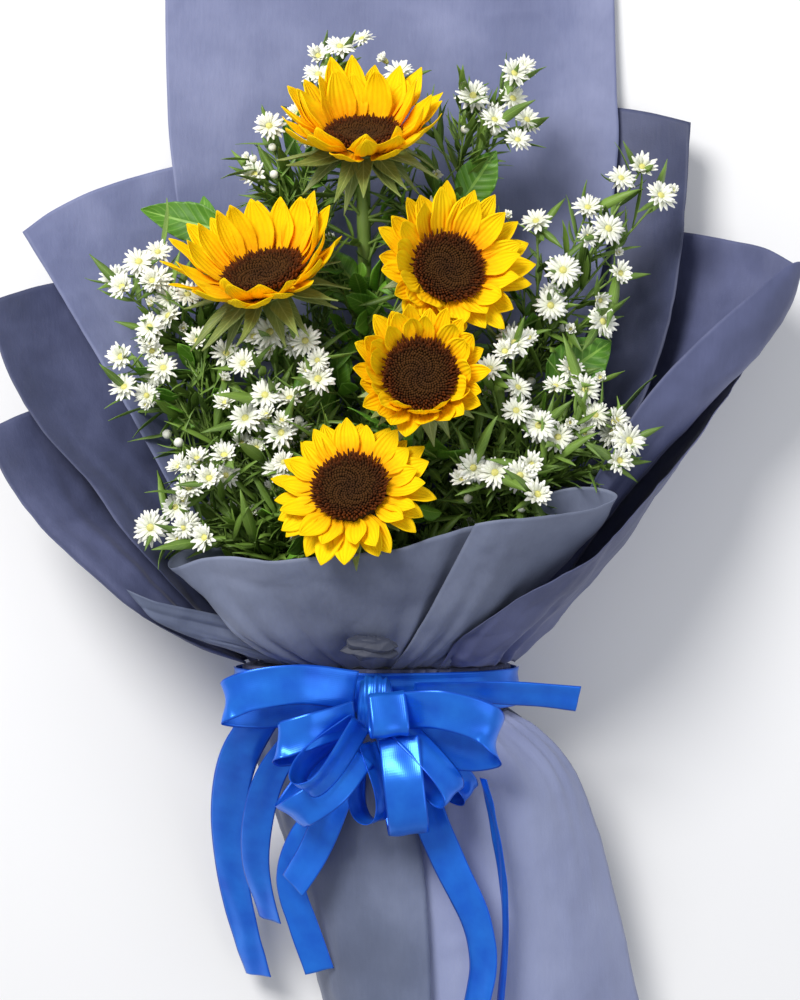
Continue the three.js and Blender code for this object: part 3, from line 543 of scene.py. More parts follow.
def bloomTree():
    # blooms on points that carry "facing" and "size"
    tree, give, take = newTree("bloomScatter", {"Blooms": "Collection", "Seed": "Int", "Finish": "Material"})
    points = addNode(tree, "GeometryNodeMeshToPoints", {"Mesh": give["Geometry"]}).outputs[0]
    facing = addNode(tree, "FunctionNodeAlignRotationToVector", {"Vector": namedValue(tree, "facing", "FLOAT_VECTOR")}, axis="Z").outputs[0]
    spin = addNode(tree, "FunctionNodeEulerToRotation", {0: vector(tree, 0.0, 0.0, chance(tree, give["Seed"], 1, 0.0, 6.28))}).outputs[0]
    turned = addNode(tree, "FunctionNodeRotateRotation", {0: facing, 1: spin}, rotation_space="LOCAL").outputs[0]
    size = namedValue(tree, "size")
    blooms = addNode(tree, "GeometryNodeCollectionInfo", {"Collection": give["Blooms"], "Separate Children": True,
                                                          "Reset Children": True}).outputs[0]
    kind = addNode(tree, "FunctionNodeFloatToInt", {0: namedValue(tree, "kind")}).outputs[0]
    flowers = addNode(tree, "GeometryNodeInstanceOnPoints", {"Points": points, "Instance": blooms, "Pick Instance": True,
                                                             "Instance Index": kind, "Rotation": turned,
                                                             "Scale": vector(tree, size, size, size)}).outputs[0]
    real = addNode(tree, "GeometryNodeRealizeInstances", {0: flowers}).outputs[0]
    tree.links.new(addNode(tree, "GeometryNodeSetMaterial", {"Geometry": real, "Material": give["Finish"]}).outputs[0], take[0])
    return tree


def twigTree():
    # lines become tapering stems, with leaves where "leafy" is high
    tree, give, take = newTree("leafyTwig", {"Leaves": "Collection", "Spacing": "Float", "Sides": "Int", "Seed": "Int",
                                             "Finish": "Material", "LeafFinish": "Material"})
    curve = addNode(tree, "GeometryNodeMeshToCurve", {0: give["Geometry"]}).outputs[0]
    ring = addNode(tree, "GeometryNodeCurvePrimitiveCircle", {"Resolution": give["Sides"], "Radius": 1.0}).outputs[0]
    sized = addNode(tree, "GeometryNodeSetCurveRadius", {"Curve": curve, "Radius": namedValue(tree, "girth")}).outputs[0]
    stems = addNode(tree, "GeometryNodeCurveToMesh", {"Curve": sized, "Profile Curve": ring, "Fill Caps": True})
    if "Scale" in stems.inputs:
        tree.links.new(namedValue(tree, "girth"), stems.inputs["Scale"])
        tree.links.new(curve, stems.inputs["Curve"])
    stems = addNode(tree, "GeometryNodeSetMaterial", {"Geometry": stems.outputs[0], "Material": give["Finish"]}).outputs[0]
    spots = addNode(tree, "GeometryNodeCurveToPoints", {"Curve": curve, "Length": give["Spacing"]}, mode="LENGTH")
    seed = give["Seed"]
    aimed = addNode(tree, "FunctionNodeAlignRotationToVector", {"Vector": spots.outputs["Tangent"]}, axis="X").outputs[0]
    rolled = addNode(tree, "FunctionNodeRotateRotation", {0: aimed, 1: addNode(tree, "FunctionNodeEulerToRotation", {
        0: vector(tree, chance(tree, seed, 1, 0.0, 6.28), 0.0, 0.0)}).outputs[0]}, rotation_space="LOCAL").outputs[0]
    tilted = addNode(tree, "FunctionNodeRotateRotation", {0: rolled, 1: addNode(tree, "FunctionNodeEulerToRotation", {
        0: vector(tree, 0.0, chance(tree, seed, 2, -1.15, -0.35), 0.0)}).outputs[0]}, rotation_space="LOCAL").outputs[0]
    size = chance(tree, seed, 3, 0.6, 1.25)
    keep = addNode(tree, "FunctionNodeCompare", {0: chance(tree, seed, 4, 0.0, 1.0), 1: namedValue(tree, "leafy")},
                   data_type="FLOAT", operation="LESS_THAN").outputs[0]
    kinds = addNode(tree, "GeometryNodeCollectionInfo", {"Collection": give["Leaves"], "Separate Children": True,
                                                         "Reset Children": True}).outputs[0]
    leaves = addNode(tree, "GeometryNodeInstanceOnPoints", {"Points": spots.outputs[0], "Selection": keep, "Instance": kinds,
                                                            "Pick Instance": True, "Rotation": tilted,
                                                            "Scale": vector(tree, size, size, size)}).outputs[0]
    toned = marked(tree, leaves, "tone", chance(tree, seed, 5, 0.0, 1.0))
    real = addNode(tree, "GeometryNodeRealizeInstances", {0: toned}).outputs[0]
    real = addNode(tree, "GeometryNodeSetMaterial", {"Geometry": real, "Material": give["LeafFinish"]}).outputs[0]
    both = tree.nodes.new("GeometryNodeJoinGeometry")
    for part in (real, stems):
        tree.links.new(part, both.inputs[0])
    tree.links.new(both.outputs[0], take[0])
    return tree


whorl, spiral, blooming, leafyTwig = whorlTree(), discTree(), bloomTree(), twigTree()
print("node trees ready")

# petal, bract and leaf shapes
def bladeMesh(name, length, width, curl, cup, ridge, wave, twist, outline, steps, material, thickness, seed):
    # a petal or leaf along +X with its face up; curl bends it up along its length
    along = np.linspace(0, 1, steps[0] + 1)
    across = np.linspace(-1, 1, steps[1] + 1)
    bend = curl * along**1.3
    spine = np.stack([np.cos(bend), np.zeros_like(bend), np.sin(bend)], axis=1) * length / steps[0]
    spine = np.concatenate([[[0, 0, 0]], spine[:-1].cumsum(axis=0)])
    half = width / 2 * np.interp(along, *zip(*outline))
    t, s = np.meshgrid(along, across, indexing="ij")
    lift = cup * s**2 * half[:, None] + ridge * np.cos(2.5 * math.pi * s) * np.sin(math.pi * np.clip(t, 0, 1))
    lift += wave * s**2 * np.sin(t * 9 + seed * 1.7 + s * 0.9) * np.sin(math.pi * np.clip(t * 0.95, 0, 1))
    spin = twist * t
    y = s * half[:, None] * np.cos(spin) - lift * np.sin(spin)
    z = s * half[:, None] * np.sin(spin) + lift * np.cos(spin)
    grid = np.stack([spine[:, 0][:, None] - np.sin(bend)[:, None] * z, y, spine[:, 2][:, None] + np.cos(bend)[:, None] * z], axis=-1)
    return shellMesh(name, grid, thickness, material)


petalOutline = [(0, 0.3), (0.1, 0.5), (0.25, 0.82), (0.42, 1), (0.6, 0.96), (0.78, 0.74), (0.9, 0.42), (1, 0.05)]
bractOutline = [(0, 0.8), (0.12, 1), (0.3, 0.92), (0.55, 0.6), (0.8, 0.24), (1, 0.03)]
narrowOutline = [(0, 0.35), (0.3, 1), (0.6, 0.85), (1, 0.05)]
petal = {"length": 36 * mm, "width": 15 * mm, "thickness": 0.3 * mm, "steps": (12, 8)}
petalCurls = [1.35, 1.1, 0.85, 0.6, 0.35, 0.1, -0.2, -0.6]     # from curled in to fallen back
bract = {"length": 26 * mm, "width": 11 * mm, "thickness": 0.5 * mm, "steps": (8, 4)}

dice = random.Random(11)
petalShapes = shapeSet("petalShape", [
    bladeMesh("petal", petal["length"], petal["width"], curl, dice.uniform(0.15, 0.5), 0.35 * mm, dice.uniform(0.5, 1.4) * mm,
              dice.uniform(-0.35, 0.35), petalOutline, petal["steps"], materials["petal"], petal["thickness"], number)
    for number, curl in enumerate(petalCurls)])
bractShapes = shapeSet("bractShape", [
    bladeMesh("bract", bract["length"], bract["width"], curl, 0.25, 0.2 * mm, 0.4 * mm, dice.uniform(-0.3, 0.3),
              bractOutline, bract["steps"], materials["bract"], bract["thickness"], number)
    for number, curl in enumerate((0.5, 0.2, -0.3, -0.7))])
narrowLeaves = shapeSet("narrowLeaf", [
    bladeMesh("narrowLeaf", size * mm, size * 0.19 * mm, curl, 0.3, 0, 0.2 * mm, 0.3, narrowOutline, (5, 2),
              materials["foliage"], 0.25 * mm, number)
    for number, (size, curl) in enumerate(((28, 0.3), (22, -0.4), (34, 0.5), (17, 0.1)))])
roundOutline = [(0, 0.1), (0.08, 0.3), (0.2, 0.76), (0.38, 1), (0.58, 0.98), (0.78, 0.7), (0.92, 0.34), (1, 0.04)]
broadLeaves = shapeSet("broadLeaf", [
    bladeMesh("broadLeaf", size * mm, size * share * mm, curl, 0.25, 0, 0.8 * mm, 0.35, roundOutline, (8, 6),
              materials["leaf"], 0.35 * mm, number)
    for number, (size, share, curl) in enumerate(((27, 0.62, 0.5), (22, 0.72, -0.5), (32, 0.5, 0.2), (19, 0.8, -0.2)))])


def floretMesh(name, radius, height, sides):
    work = bmesh.new()
    layer = work.verts.layers.float.new("along")
    rings = []
    for z, r in ((-0.25, 0.7), (0.35, 1.0), (0.75, 0.75)):
        ring = [work.verts.new((r * radius * math.cos(a), r * radius * math.sin(a), z * height))
                for a in (2 * math.pi * k / sides for k in range(sides))]
        for v in ring:
            v[layer] = max(z, 0)
        rings.append(ring)
    tip = work.verts.new((0, 0, height))
    tip[layer] = 1
    for low, high in zip(rings, rings[1:]):
        for k in range(sides):
            work.faces.new((low[k], low[(k + 1) % sides], high[(k + 1) % sides], high[k]))
    for k in range(sides):
        work.faces.new((rings[-1][k], rings[-1][(k + 1) % sides], tip))
    work.faces.new(rings[0][::-1])
    mesh = bpy.data.meshes.new(name)
    work.to_mesh(mesh)
    work.free()
    return mesh


florets = shapeSet("floret", [floretMesh("floret", r * mm, h * mm, 5) for r, h in ((0.95, 3.2), (0.8, 4.0), (1.05, 2.6))])


def lathedMesh(name, profile, sides, material, marks=()):
    # a turned shape about +Z from (radius, height) points, closed at both poles
    work = bmesh.new()
    rings = []
    for radius, height in profile[1:-1]:
        rings.append([work.verts.new((radius * math.cos(a), radius * math.sin(a), height))
                      for a in (2 * math.pi * k / sides for k in range(sides))])
    low = work.verts.new((0, 0, profile[0][1]))
    high = work.verts.new((0, 0, profile[-1][1]))
    for k in range(sides):
        n = (k + 1) % sides
        work.faces.new((low, rings[0][n], rings[0][k]))
        work.faces.new((high, rings[-1][k], rings[-1][n]))
        for a, b in zip(rings, rings[1:]):
            work.faces.new((a[k], a[n], b[n], b[k]))
    for label, value in marks:
        layer = work.verts.layers.float.new(label)
        for v in work.verts:
            v[layer] = value
    mesh = bpy.data.meshes.new(name)
    work.to_mesh(mesh)
    work.free()
    mesh.materials.append(material)
    return mesh


# sunflower heads
# lift, lean and bow are how far petals stand up, and how much more on the side toward which they lean
heads = {
    "top": {"count": 18, "size": 1.14, "broad": 1.3, "lift": 32, "lean": 24, "toward": 95, "bend": 2.2, "bow": 1.0,
            "stretch": 0.04, "dome": 6.0, "shoots": 50, "leafyFrom": 0.52, "seed": 3},
    "upper_left": {"count": 20, "size": 1.14, "broad": 1.2, "lift": 30, "lean": 14, "toward": 120, "bend": 2.5, "bow": 0.9,
                   "stretch": 0.08, "dome": 6.5, "shoots": 28, "leafyFrom": 0.55, "seed": 8},
    "right": {"count": 21, "size": 0.86, "broad": 1.05, "lift": 20, "lean": 8, "toward": 40, "bend": 3.4, "bow": 0.6,
              "stretch": 0.18, "dome": 7.0, "shoots": 28, "leafyFrom": 0.5, "seed": 15},
    "middle": {"count": 22, "size": 0.72, "broad": 0.95, "lift": 34, "lean": -4, "toward": 90, "bend": 2.6, "bow": 0.3,
               "stretch": 0.0, "dome": 7.0, "shoots": 20, "leafyFrom": 0.55, "seed": 21},
    "bottom": {"count": 21, "size": 0.8, "broad": 1.0, "lift": 1, "lean": 3, "toward": 90, "bend": 4.2, "bow": -0.4,
               "stretch": 0.0, "dome": 6.5, "shoots": 12, "leafyFrom": 0.6, "seed": 32},
}


def headPlace(name):  # where a head sits, from the flat base of its disc
    work = merged(f"sunflower_{name}_disc")
    bmesh.ops.dissolve_limit(work, angle_limit=0.02, verts=work.verts, edges=work.edges)
    base = max(work.faces, key=lambda f: f.calc_area())
    centre = base.calc_center_median()
    facing = -base.normal
    radius = sum((v.co - centre).length for v in base.verts) / len(base.verts)
    place = centre + facing * 3 * mm
    work.free()
    return place, facing.copy(), radius


def centreline(name, step, widest):  # middle of a stem, from its foot up to where it spreads
    work = merged(name)
    low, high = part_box(name)
    line, y = [], low[1] + 0.5 * mm
    while y < high[1]:
        part = work.copy()
        cut = bmesh.ops.bisect_plane(part, geom=part.verts[:] + part.edges[:] + part.faces[:], plane_co=(0, y, 0), plane_no=(0, 1, 0))
        ring = [v.co.copy() for v in cut["geom_cut"] if isinstance(v, bmesh.types.BMVert)]
        part.free()
        if ring:
            middle = sum(ring, Vector()) / len(ring)
            if max((p - middle).length for p in ring) > widest:
                break
            line.append(middle)
        y += step
    work.free()
    return line


def smoothLine(points, count):
    grid = np.array([[tuple(p)] * 2 for p in points])
    return [Vector(p) for p in refined(grid, count, 1)[:, 0]]


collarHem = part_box("front_collar_sheet")[1][1] - 40 * mm   # stems carry no leaves below this


def linesMesh(lines):  # lines with girth and leafiness at each point, for the twig tree
    points, edges, girths, leafy = [], [], [], []
    for line, (thick, thin), leafiness in lines:
        first = len(points)
        points += [tuple(p) for p in line]
        edges += [(first + k, first + k + 1) for k in range(len(line) - 1)]
        girths += list(np.linspace(thick, thin, len(line)))
        leafy += [leafiness if k > 1 and p.y > collarHem else 0 for k, p in enumerate(line)]
    mesh = bpy.data.meshes.new("lines")
    mesh.from_pydata(points, edges, [])
    for label, values in (("girth", girths), ("leafy", leafy)):
        mesh.attributes.new(label, "FLOAT", "POINT").data.foreach_set("value", values)
    return mesh


def makeHead(name, make):
    place, facing, radius = headPlace(name)
    pose = frameAt(place, facing)
    whorls = []
    for layer, (count, lift, bend, size, inward) in enumerate((
            (make["count"], -5, 0.6, 1.0, 0.97), (make["count"] - 3, 6, -0.3, 0.93, 0.9))):
        whorls.append(grow(whorl, emptyMesh(), Shapes=petalShapes, Kinds=float(len(petalCurls)), Count=count,
                           Radius=radius * inward, Lift=math.radians(make["lift"] + lift), Lean=math.radians(make["lean"]),
                           Toward=math.radians(make["toward"]), Bend=make["bend"] + bend, Bow=make["bow"],
                           Size=make["size"] * size, Broad=make["broad"], Stretch=make["stretch"],
                           Seed=make["seed"] + 40 * layer, Finish=materials["petal"]))
    petals = joined(whorls)
    petals.transform(pose)
    finish(f"{name}Petals", petals, "petal", f"sunflower_{name}_petals")
    bed = lathedMesh(f"{name}Bed", [(0, -2.6 * mm), (radius * 0.97, -2.6 * mm), (radius, -0.5 * mm), (radius * 0.96, 1.2 * mm),
                                    (radius * 0.85, make["dome"] * 0.7 * mm), (radius * 0.6, make["dome"] * 0.66 * mm),
                                    (radius * 0.3, make["dome"] * 0.5 * mm), (0, make["dome"] * 0.46 * mm)], 32, materials["disc"],
                     (("ring", 0.55), ("tone", 0.5), ("along", 0.0)))
    seeds = grow(spiral, emptyMesh(), Florets=florets, Count=640, Radius=radius * 0.97, Dome=make["dome"] * mm,
                 Seed=make["seed"], Finish=materials["disc"])
    middle = joined([bed, seeds])
    middle.transform(pose)
    finish(f"{name}Disc", middle, "seed_disc", f"sunflower_{name}_disc")
    cup = lathedMesh(f"{name}Cup", [(0, -14.5 * mm), (5.2 * mm, -14.2 * mm), (8 * mm, -12.4 * mm), (radius * 0.62, -9 * mm),
                                    (radius * 0.84, -6 * mm), (radius * 0.93, -3.6 * mm), (radius * 0.9, -3.1 * mm),
                                    (0, -3.1 * mm)], 32, materials["bract"], (("across", 0.4),))
    bracts = [grow(whorl, emptyMesh(), Shapes=bractShapes, Kinds=4.0, Count=count, Radius=radius * inward,
                   Lift=math.radians(lift), Lean=0.2, Toward=math.radians(90), Bend=1.6, Bow=0.5, Size=size * make["size"], Broad=1.25,
                   Stretch=-0.28, Seed=make["seed"] + 70 + count, Finish=materials["bract"])
              for count, lift, size, inward in ((13, -6, 1.3, 0.62), (10, -24, 1.15, 0.5))]
    for ring in bracts:
        ring.transform(Matrix.Translation((0, 0, -5.2 * mm)))
    stem = f"sunflower_{name}_stem"
    line = centreline(stem, 12 * mm, 8 * mm)
    below = place - facing * 47 * mm
    line = [p for p in line if p.y < below.y - 8 * mm] + [below, place - facing * 30 * mm, place - facing * 13 * mm]
    spine = smoothLine(line, 60)
    stalk = grow(leafyTwig, linesMesh([(spine, (4.2 * mm, 4.6 * mm), 0.0)]), Leaves=narrowLeaves, Spacing=0.05,
                 Sides=12, Seed=1, Finish=materials["stem"], LeafFinish=materials["leaf"])
    rolls = random.Random(make["seed"])
    shoots = []  # short leafy side shoots on the upper part of the stem
    for _ in range(make["shoots"]):
        start = spine[int(len(spine) * rolls.uniform(make["leafyFrom"], 0.95))]
        way = Vector((rolls.uniform(-1, 1), rolls.uniform(-0.2, 0.9), rolls.uniform(0.1, 1))).normalized()
        end = start + way * rolls.uniform(20, 40) * mm
        end.z = min(end.z, place.z - 16 * mm)
        shoots.append((smoothLine([start, start.lerp(end, 0.5) + up * 2 * mm, end], 6), (1.3 * mm, 0.8 * mm), 0.95))
    half = len(shoots) // 2
    leafy = [grow(leafyTwig, linesMesh(some), Leaves=kinds, Spacing=spacing * mm, Sides=5, Seed=make["seed"] + 3,
                  Finish=materials["stem"], LeafFinish=materials[green])
             for some, kinds, spacing, green in ((shoots[:half], broadLeaves, 11, "leaf"), (shoots[half:], narrowLeaves, 4, "foliage"))]
    greens = joined([cup] + bracts)
    greens.transform(pose)
    finish(f"{name}Greens", joined([greens, stalk] + leafy), "stem", stem)


for headName, headMake in heads.items():
    makeHead(headName, headMake)
print("sunflowers ready")

# aster sprays
aster = {"rays": 14, "radius": 11 * mm, "core": 2.5 * mm, "rayWidth": 2.7 * mm, "twigs": 42}


def bloomMesh(name, radius, core, rays, lifts, seed):
    rolls = random.Random(seed)
    parts = []
    for layer, lift in enumerate(lifts):
        for k in range(rays):
            angle = 2 * math.pi * (k + 0.5 * layer + rolls.uniform(-0.25, 0.25)) / rays
            length = (radius - core * 0.5) * rolls.uniform(0.86, 1.05) * (1 - 0.14 * layer)
            ray = bladeMesh("ray", length, aster["rayWidth"] * rolls.uniform(0.8, 1.15), rolls.uniform(-0.5, 0.5), 0.25, 0, 0,
                            rolls.uniform(-0.4, 0.4), [(0, 0.5), (0.6, 1), (0.9, 0.8), (1, 0.3)], (3, 2), materials["aster"], 0.18 * mm, k)
            ray.transform(Matrix.Rotation(angle, 4, "Z") @ Matrix.Translation((core * 0.5, 0, layer * 0.5 * mm))
                          @ Matrix.Rotation(-math.radians(lift + rolls.uniform(-9, 9)), 4, "Y"))
            parts.append(ray)
    dome = lathedMesh("core", [(0, -0.8 * mm), (core * 0.8, -0.6 * mm), (core, 0.3 * mm), (core * 0.85, 1.3 * mm), (core * 0.45, 1.9 * mm),
                               (0, 2.0 * mm)], 10, materials["aster"], (("core", 1.0), ("along", 0.5)))
    cup = lathedMesh("cup", [(0, -3.4 * mm), (1.2 * mm, -3.2 * mm), (core * 0.95, -0.9 * mm), (core * 0.7, -0.4 * mm), (0, -0.4 * mm)],
                     8, materials["aster"], (("core", 1.0),))
    return joined(parts + [dome, cup])


def budMesh(name, radius):
    return lathedMesh(name, [(0, -1.3 * radius), (radius * 0.6, -radius), (radius, -0.1 * radius), (radius * 0.9, 0.5 * radius),
                             (radius * 0.5, 0.95 * radius), (0, 1.05 * radius)], 10, materials["aster"], (("along", 0.7),))


blooms = shapeSet("bloom", [
    bloomMesh("bloomOpen", aster["radius"], aster["core"], aster["rays"], (8, 24), 1),
    bloomMesh("bloomFlat", aster["radius"] * 1.04, aster["core"], aster["rays"] + 1, (0, 14), 2),
    bloomMesh("bloomCupped", aster["radius"] * 0.92, aster["core"], aster["rays"] - 2, (32, 48), 3),
    budMesh("bud", 3.4 * mm),
    bloomMesh("bloomYoung", aster["radius"] * 0.6, aster["core"] * 0.8, 11, (58, 70), 5)])


def bloomPlaces(name):  # the flat tops of the blooms on a spray
    work = merged(name)
    bmesh.ops.dissolve_limit(work, angle_limit=0.02, verts=work.verts, edges=work.edges)
    found = []
    for face in work.faces:
        area = face.calc_area() / mm**2
        roundness = area / (sum(e.calc_length() for e in face.edges) / mm) ** 2
        if area > 110 and roundness > 0.045 and face.normal.z > 0.35:
            found.append((face.calc_center_median(), face.normal.copy()))
    work.free()
    return found


def makeSpray(name, make):
    rolls = random.Random(make["seed"])
    wander = lambda size: Vector([rolls.uniform(-size, size) for _ in range(3)])
    node = f"aster_spray_{name}"
    main = centreline(node, 8 * mm, 3.2 * mm)
    fork = main[-1]
    along = (fork - main[len(main) // 2]).normalized()
    lines = [(smoothLine(main, 30), (1.7 * mm, 1.3 * mm), 0.55)]
    spots, fresh = [], []
    for place, facing in bloomPlaces(node):
        neck = place - facing * 17 * mm
        bend = fork.lerp(neck, 0.5) + along * 6 * mm
        lines.append((smoothLine([fork - along * 3 * mm, bend, neck, place - facing * 6 * mm], 10), (1.0 * mm, 0.7 * mm), 0.8))
        spots.append((place - facing * 1.5 * mm, facing + wander(0.2), rolls.uniform(0.95, 1.12), rolls.choice((0, 0, 1, 1, 2))))
        for _ in range(make["mates"]):  # blooms that share its stalk
            mate = place + wander(1).cross(facing).normalized() * rolls.uniform(13, 21) * mm - facing * rolls.uniform(2, 10) * mm
            lines.append((smoothLine([neck, neck.lerp(mate, 0.6), mate - facing * 5 * mm], 5), (0.7 * mm, 0.6 * mm), 0.4))
            spots.append((mate, facing + wander(0.4), rolls.uniform(0.75, 1.02), rolls.choice((0, 1, 2, 2, 4))))
    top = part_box(node)[1][2]
    tips = [3] * make["buds"] + [4] * 3 + [0, 1]
    for k in range(aster["twigs"]):
        start = main[int(len(main) * rolls.uniform(0.35, 0.99))]
        side = Vector((rolls.uniform(-1, 1), rolls.uniform(-0.3, 1.2), rolls.uniform(-0.1, 0.7)))
        end = start + (along + side * 0.9).normalized() * rolls.uniform(30, 68) * mm + up * 6 * mm
        end.z = min(end.z, top - 12 * mm)
        middle = start.lerp(end, 0.5) + along * 4 * mm + wander(3 * mm)
        lines.append((smoothLine([start, middle, end], 8), (0.9 * mm, 0.5 * mm), 0.95))
        if k < len(tips):
            spots.append((end + up * 3 * mm, wander(0.4) + up, rolls.uniform(0.8, 1.0), tips[k]))
    for _ in range(make["fresh"]):  # twigs with broad bright leaves
        start = main[int(len(main) * rolls.uniform(0.6, 0.97))]
        side = Vector((rolls.uniform(-0.9, 0.9), rolls.uniform(0, 0.9), rolls.uniform(0, 0.6)))
        end = start + (along + side).normalized() * rolls.uniform(34, 62) * mm
        end.z = min(end.z, top - 8 * mm)
        fresh.append((smoothLine([start, start.lerp(end, 0.5) + wander(4 * mm), end], 8), (1.1 * mm, 0.7 * mm), 0.95))
    greens = [grow(leafyTwig, linesMesh(some), Leaves=kinds, Spacing=spacing * mm, Sides=5, Seed=make["seed"],
                   Finish=materials["stem"], LeafFinish=materials[green])
              for some, kinds, spacing, green in ((lines, narrowLeaves, 4.3, "foliage"), (fresh, broadLeaves, 10, "leaf"))]
    finish(f"{name}Foliage", joined(greens), "leaf", node)
    points = bpy.data.meshes.new("spots")
    points.from_pydata([tuple(s[0]) for s in spots], [], [])
    points.attributes.new("facing", "FLOAT_VECTOR", "POINT").data.foreach_set("vector", [c for s in spots for c in s[1]])
    points.attributes.new("size", "FLOAT", "POINT").data.foreach_set("value", [s[2] for s in spots])
    points.attributes.new("kind", "FLOAT", "POINT").data.foreach_set("value", [float(s[3]) for s in spots])
    flowers = grow(blooming, points, Blooms=blooms, Seed=make["seed"], Finish=materials["aster"])
    finish(f"{name}Blooms", flowers, "aster", node)


# mates: further blooms beside each large one; fresh: twigs with broad leaves
sprays = {
    "left_upper": {"mates": 2, "buds": 3, "fresh": 5, "seed": 1},
    "left_lower": {"mates": 1, "buds": 3, "fresh": 1, "seed": 2},
    "left_middle": {"mates": 2, "buds": 2, "fresh": 2, "seed": 3},
    "centre_left": {"mates": 2, "buds": 2, "fresh": 3, "seed": 4},
    "top": {"mates": 1, "buds": 8, "fresh": 3, "seed": 5},
    "right_top": {"mates": 1, "buds": 7, "fresh": 6, "seed": 6},
    "right_upper": {"mates": 1, "buds": 14, "fresh": 3, "seed": 7},
    "right_lower": {"mates": 1, "buds": 6, "fresh": 3, "seed": 8},
    "right_outer": {"mates": 1, "buds": 8, "fresh": 4, "seed": 9},
}
for sprayName, sprayMake in sprays.items():
    makeSpray(sprayName, sprayMake)
print("asters ready")

# large leaves
leaves = {"leaf_top_left": 0.5, "leaf_left_upright": -0.3, "leaf_right_top": 0.2, "leaf_right_large": -0.5}
leafOutline = [(0, 0.1), (0.06, 0.22), (0.18, 0.72), (0.34, 0.98), (0.5, 1), (0.68, 0.82), (0.86, 0.42), (1, 0.03)]
tiePlace = Vector(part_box("stem_tie")[0]).lerp(Vector(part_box("stem_tie")[1]), 0.5)


def makeLeaf(name, bend, seed):
    work = merged(name)
    points = [v.co.copy() for v in work.verts]
    work.free()
    tip = max(points, key=lambda p: (p - tiePlace).length)
    stalk = max(points, key=lambda p: (p - tip).length)
    run = tip - stalk
    along = run.normalized()
    side = along.cross(up).normalized()
    reach = [(p - stalk).dot(side) for p in points]
    turn = Matrix((along, -side, (-side).cross(along) * -1)).transposed().to_4x4()
    rise = max((p - stalk).dot(along.cross(-side)) for p in points)
    mesh = bladeMesh(name, run.length, max(reach) - min(reach), bend, 0.28, 0, 1.6 * mm, bend * 0.5, leafOutline, (44, 18),
                     materials["leaf"], 0.5 * mm, seed)
    for v in mesh.vertices:
        t, s = v.co.x / run.length, v.co.y / (max(reach) - min(reach)) * 2
        v.co.z += 0.5 * mm * math.cos((t - 0.25 * abs(s)) * 46) * min(abs(s) * 3, 1) - 0.8 * mm * math.exp(-(s * 9) ** 2)
    mesh.transform(Matrix.Translation(stalk + up * rise * 0.3) @ turn)
    finish(name.replace("leaf_", "big_"), mesh, "leaf", name)


for leafSeed, (leafName, leafBend) in enumerate(leaves.items()):
    makeLeaf(leafName, leafBend, leafSeed)
print("leaves ready")

# wrapping paper
# folds: pleats across the sheet; depth: how deep they are at the neck; crush: crumpling; reach: how far up they run
wraps = {
    "back_panel": {"finish": "paperPaintedLight", "folds": 5, "depth": 1.2, "reach": 120, "crush": 0.45,
        "flat": (0.31, 0.49), "area": 0.116, "held": "laid"},
    "left_upper_sheet": {"finish": "paperPaintedLight", "folds": 5, "depth": 2.4, "reach": 130, "crush": 0.8,
        "flat": (0.14, 0.35), "area": 0.039, "held": "folded"},
    "left_middle_sheet": {"finish": "paperPaintedShade", "folds": 5, "depth": 2.6, "reach": 130, "crush": 0.9,
        "flat": (0.15, 0.3), "area": 0.039, "held": "folded"},
    "left_lower_sheet": {"finish": "paperPaintedShade", "folds": 6, "depth": 2.8, "reach": 130, "crush": 1.1,
        "flat": (0.17, 0.23), "area": 0.033, "held": "folded"},
    "left_front_sheet": {"finish": "paperGrey", "folds": 4, "depth": 2, "reach": 70, "crush": 1.2,
        "flat": (0.11, 0.11), "area": 0.0045, "held": "gathered"},
    "right_upper_sheet": {"finish": "paperPaintedShade", "folds": 4, "depth": 2.2, "reach": 150, "crush": 0.8,
        "flat": (0.09, 0.4), "area": 0.032, "held": "folded"},
    "right_middle_sheet": {"finish": "paper", "folds": 6, "depth": 2.6, "reach": 120, "crush": 1,
        "flat": (0.19, 0.33), "area": 0.049, "held": "folded"},
    "right_outer_sheet": {"finish": "paper", "folds": 6, "depth": 3, "reach": 110, "crush": 1.4,
        "flat": (0.38, 0.19), "area": 0.042, "held": "folded"},
    "front_collar_sheet": {"finish": "paperCollar", "folds": 7, "depth": 2.4, "reach": 75, "crush": 1.4,
        "flat": (0.28, 0.11), "area": 0.018, "held": "gathered"},
    "collar_fold_sheet": {"finish": "paperCollar", "folds": 4, "depth": 2.2, "reach": 80, "crush": 1.2,
        "flat": (0.165, 0.135), "area": 0.0145, "held": "gathered"},
    "skirt_front_left": {"finish": "paperGrey", "folds": 5, "depth": 2.4, "reach": 90, "crush": 0.9,
        "flat": (0.115, 0.22), "area": 0.0252, "held": "gathered"},
    "skirt_front_right": {"finish": "paperPale", "folds": 6, "depth": 2.8, "reach": 90, "crush": 1,
        "flat": (0.17, 0.22), "area": 0.033, "held": "gathered"},
    "skirt_back": {"finish": "paperGrey", "folds": 6, "depth": 1.6, "reach": 120, "crush": 0.6,
        "flat": (0.21, 0.22), "area": 0.0448, "held": "gathered"},
}
paper = {"thickness": 0.4 * mm, "cell": 3.2 * mm, "wall": 1.2 * mm}
neckPlace = tiePlace - Vector((0, 0.019, 0))


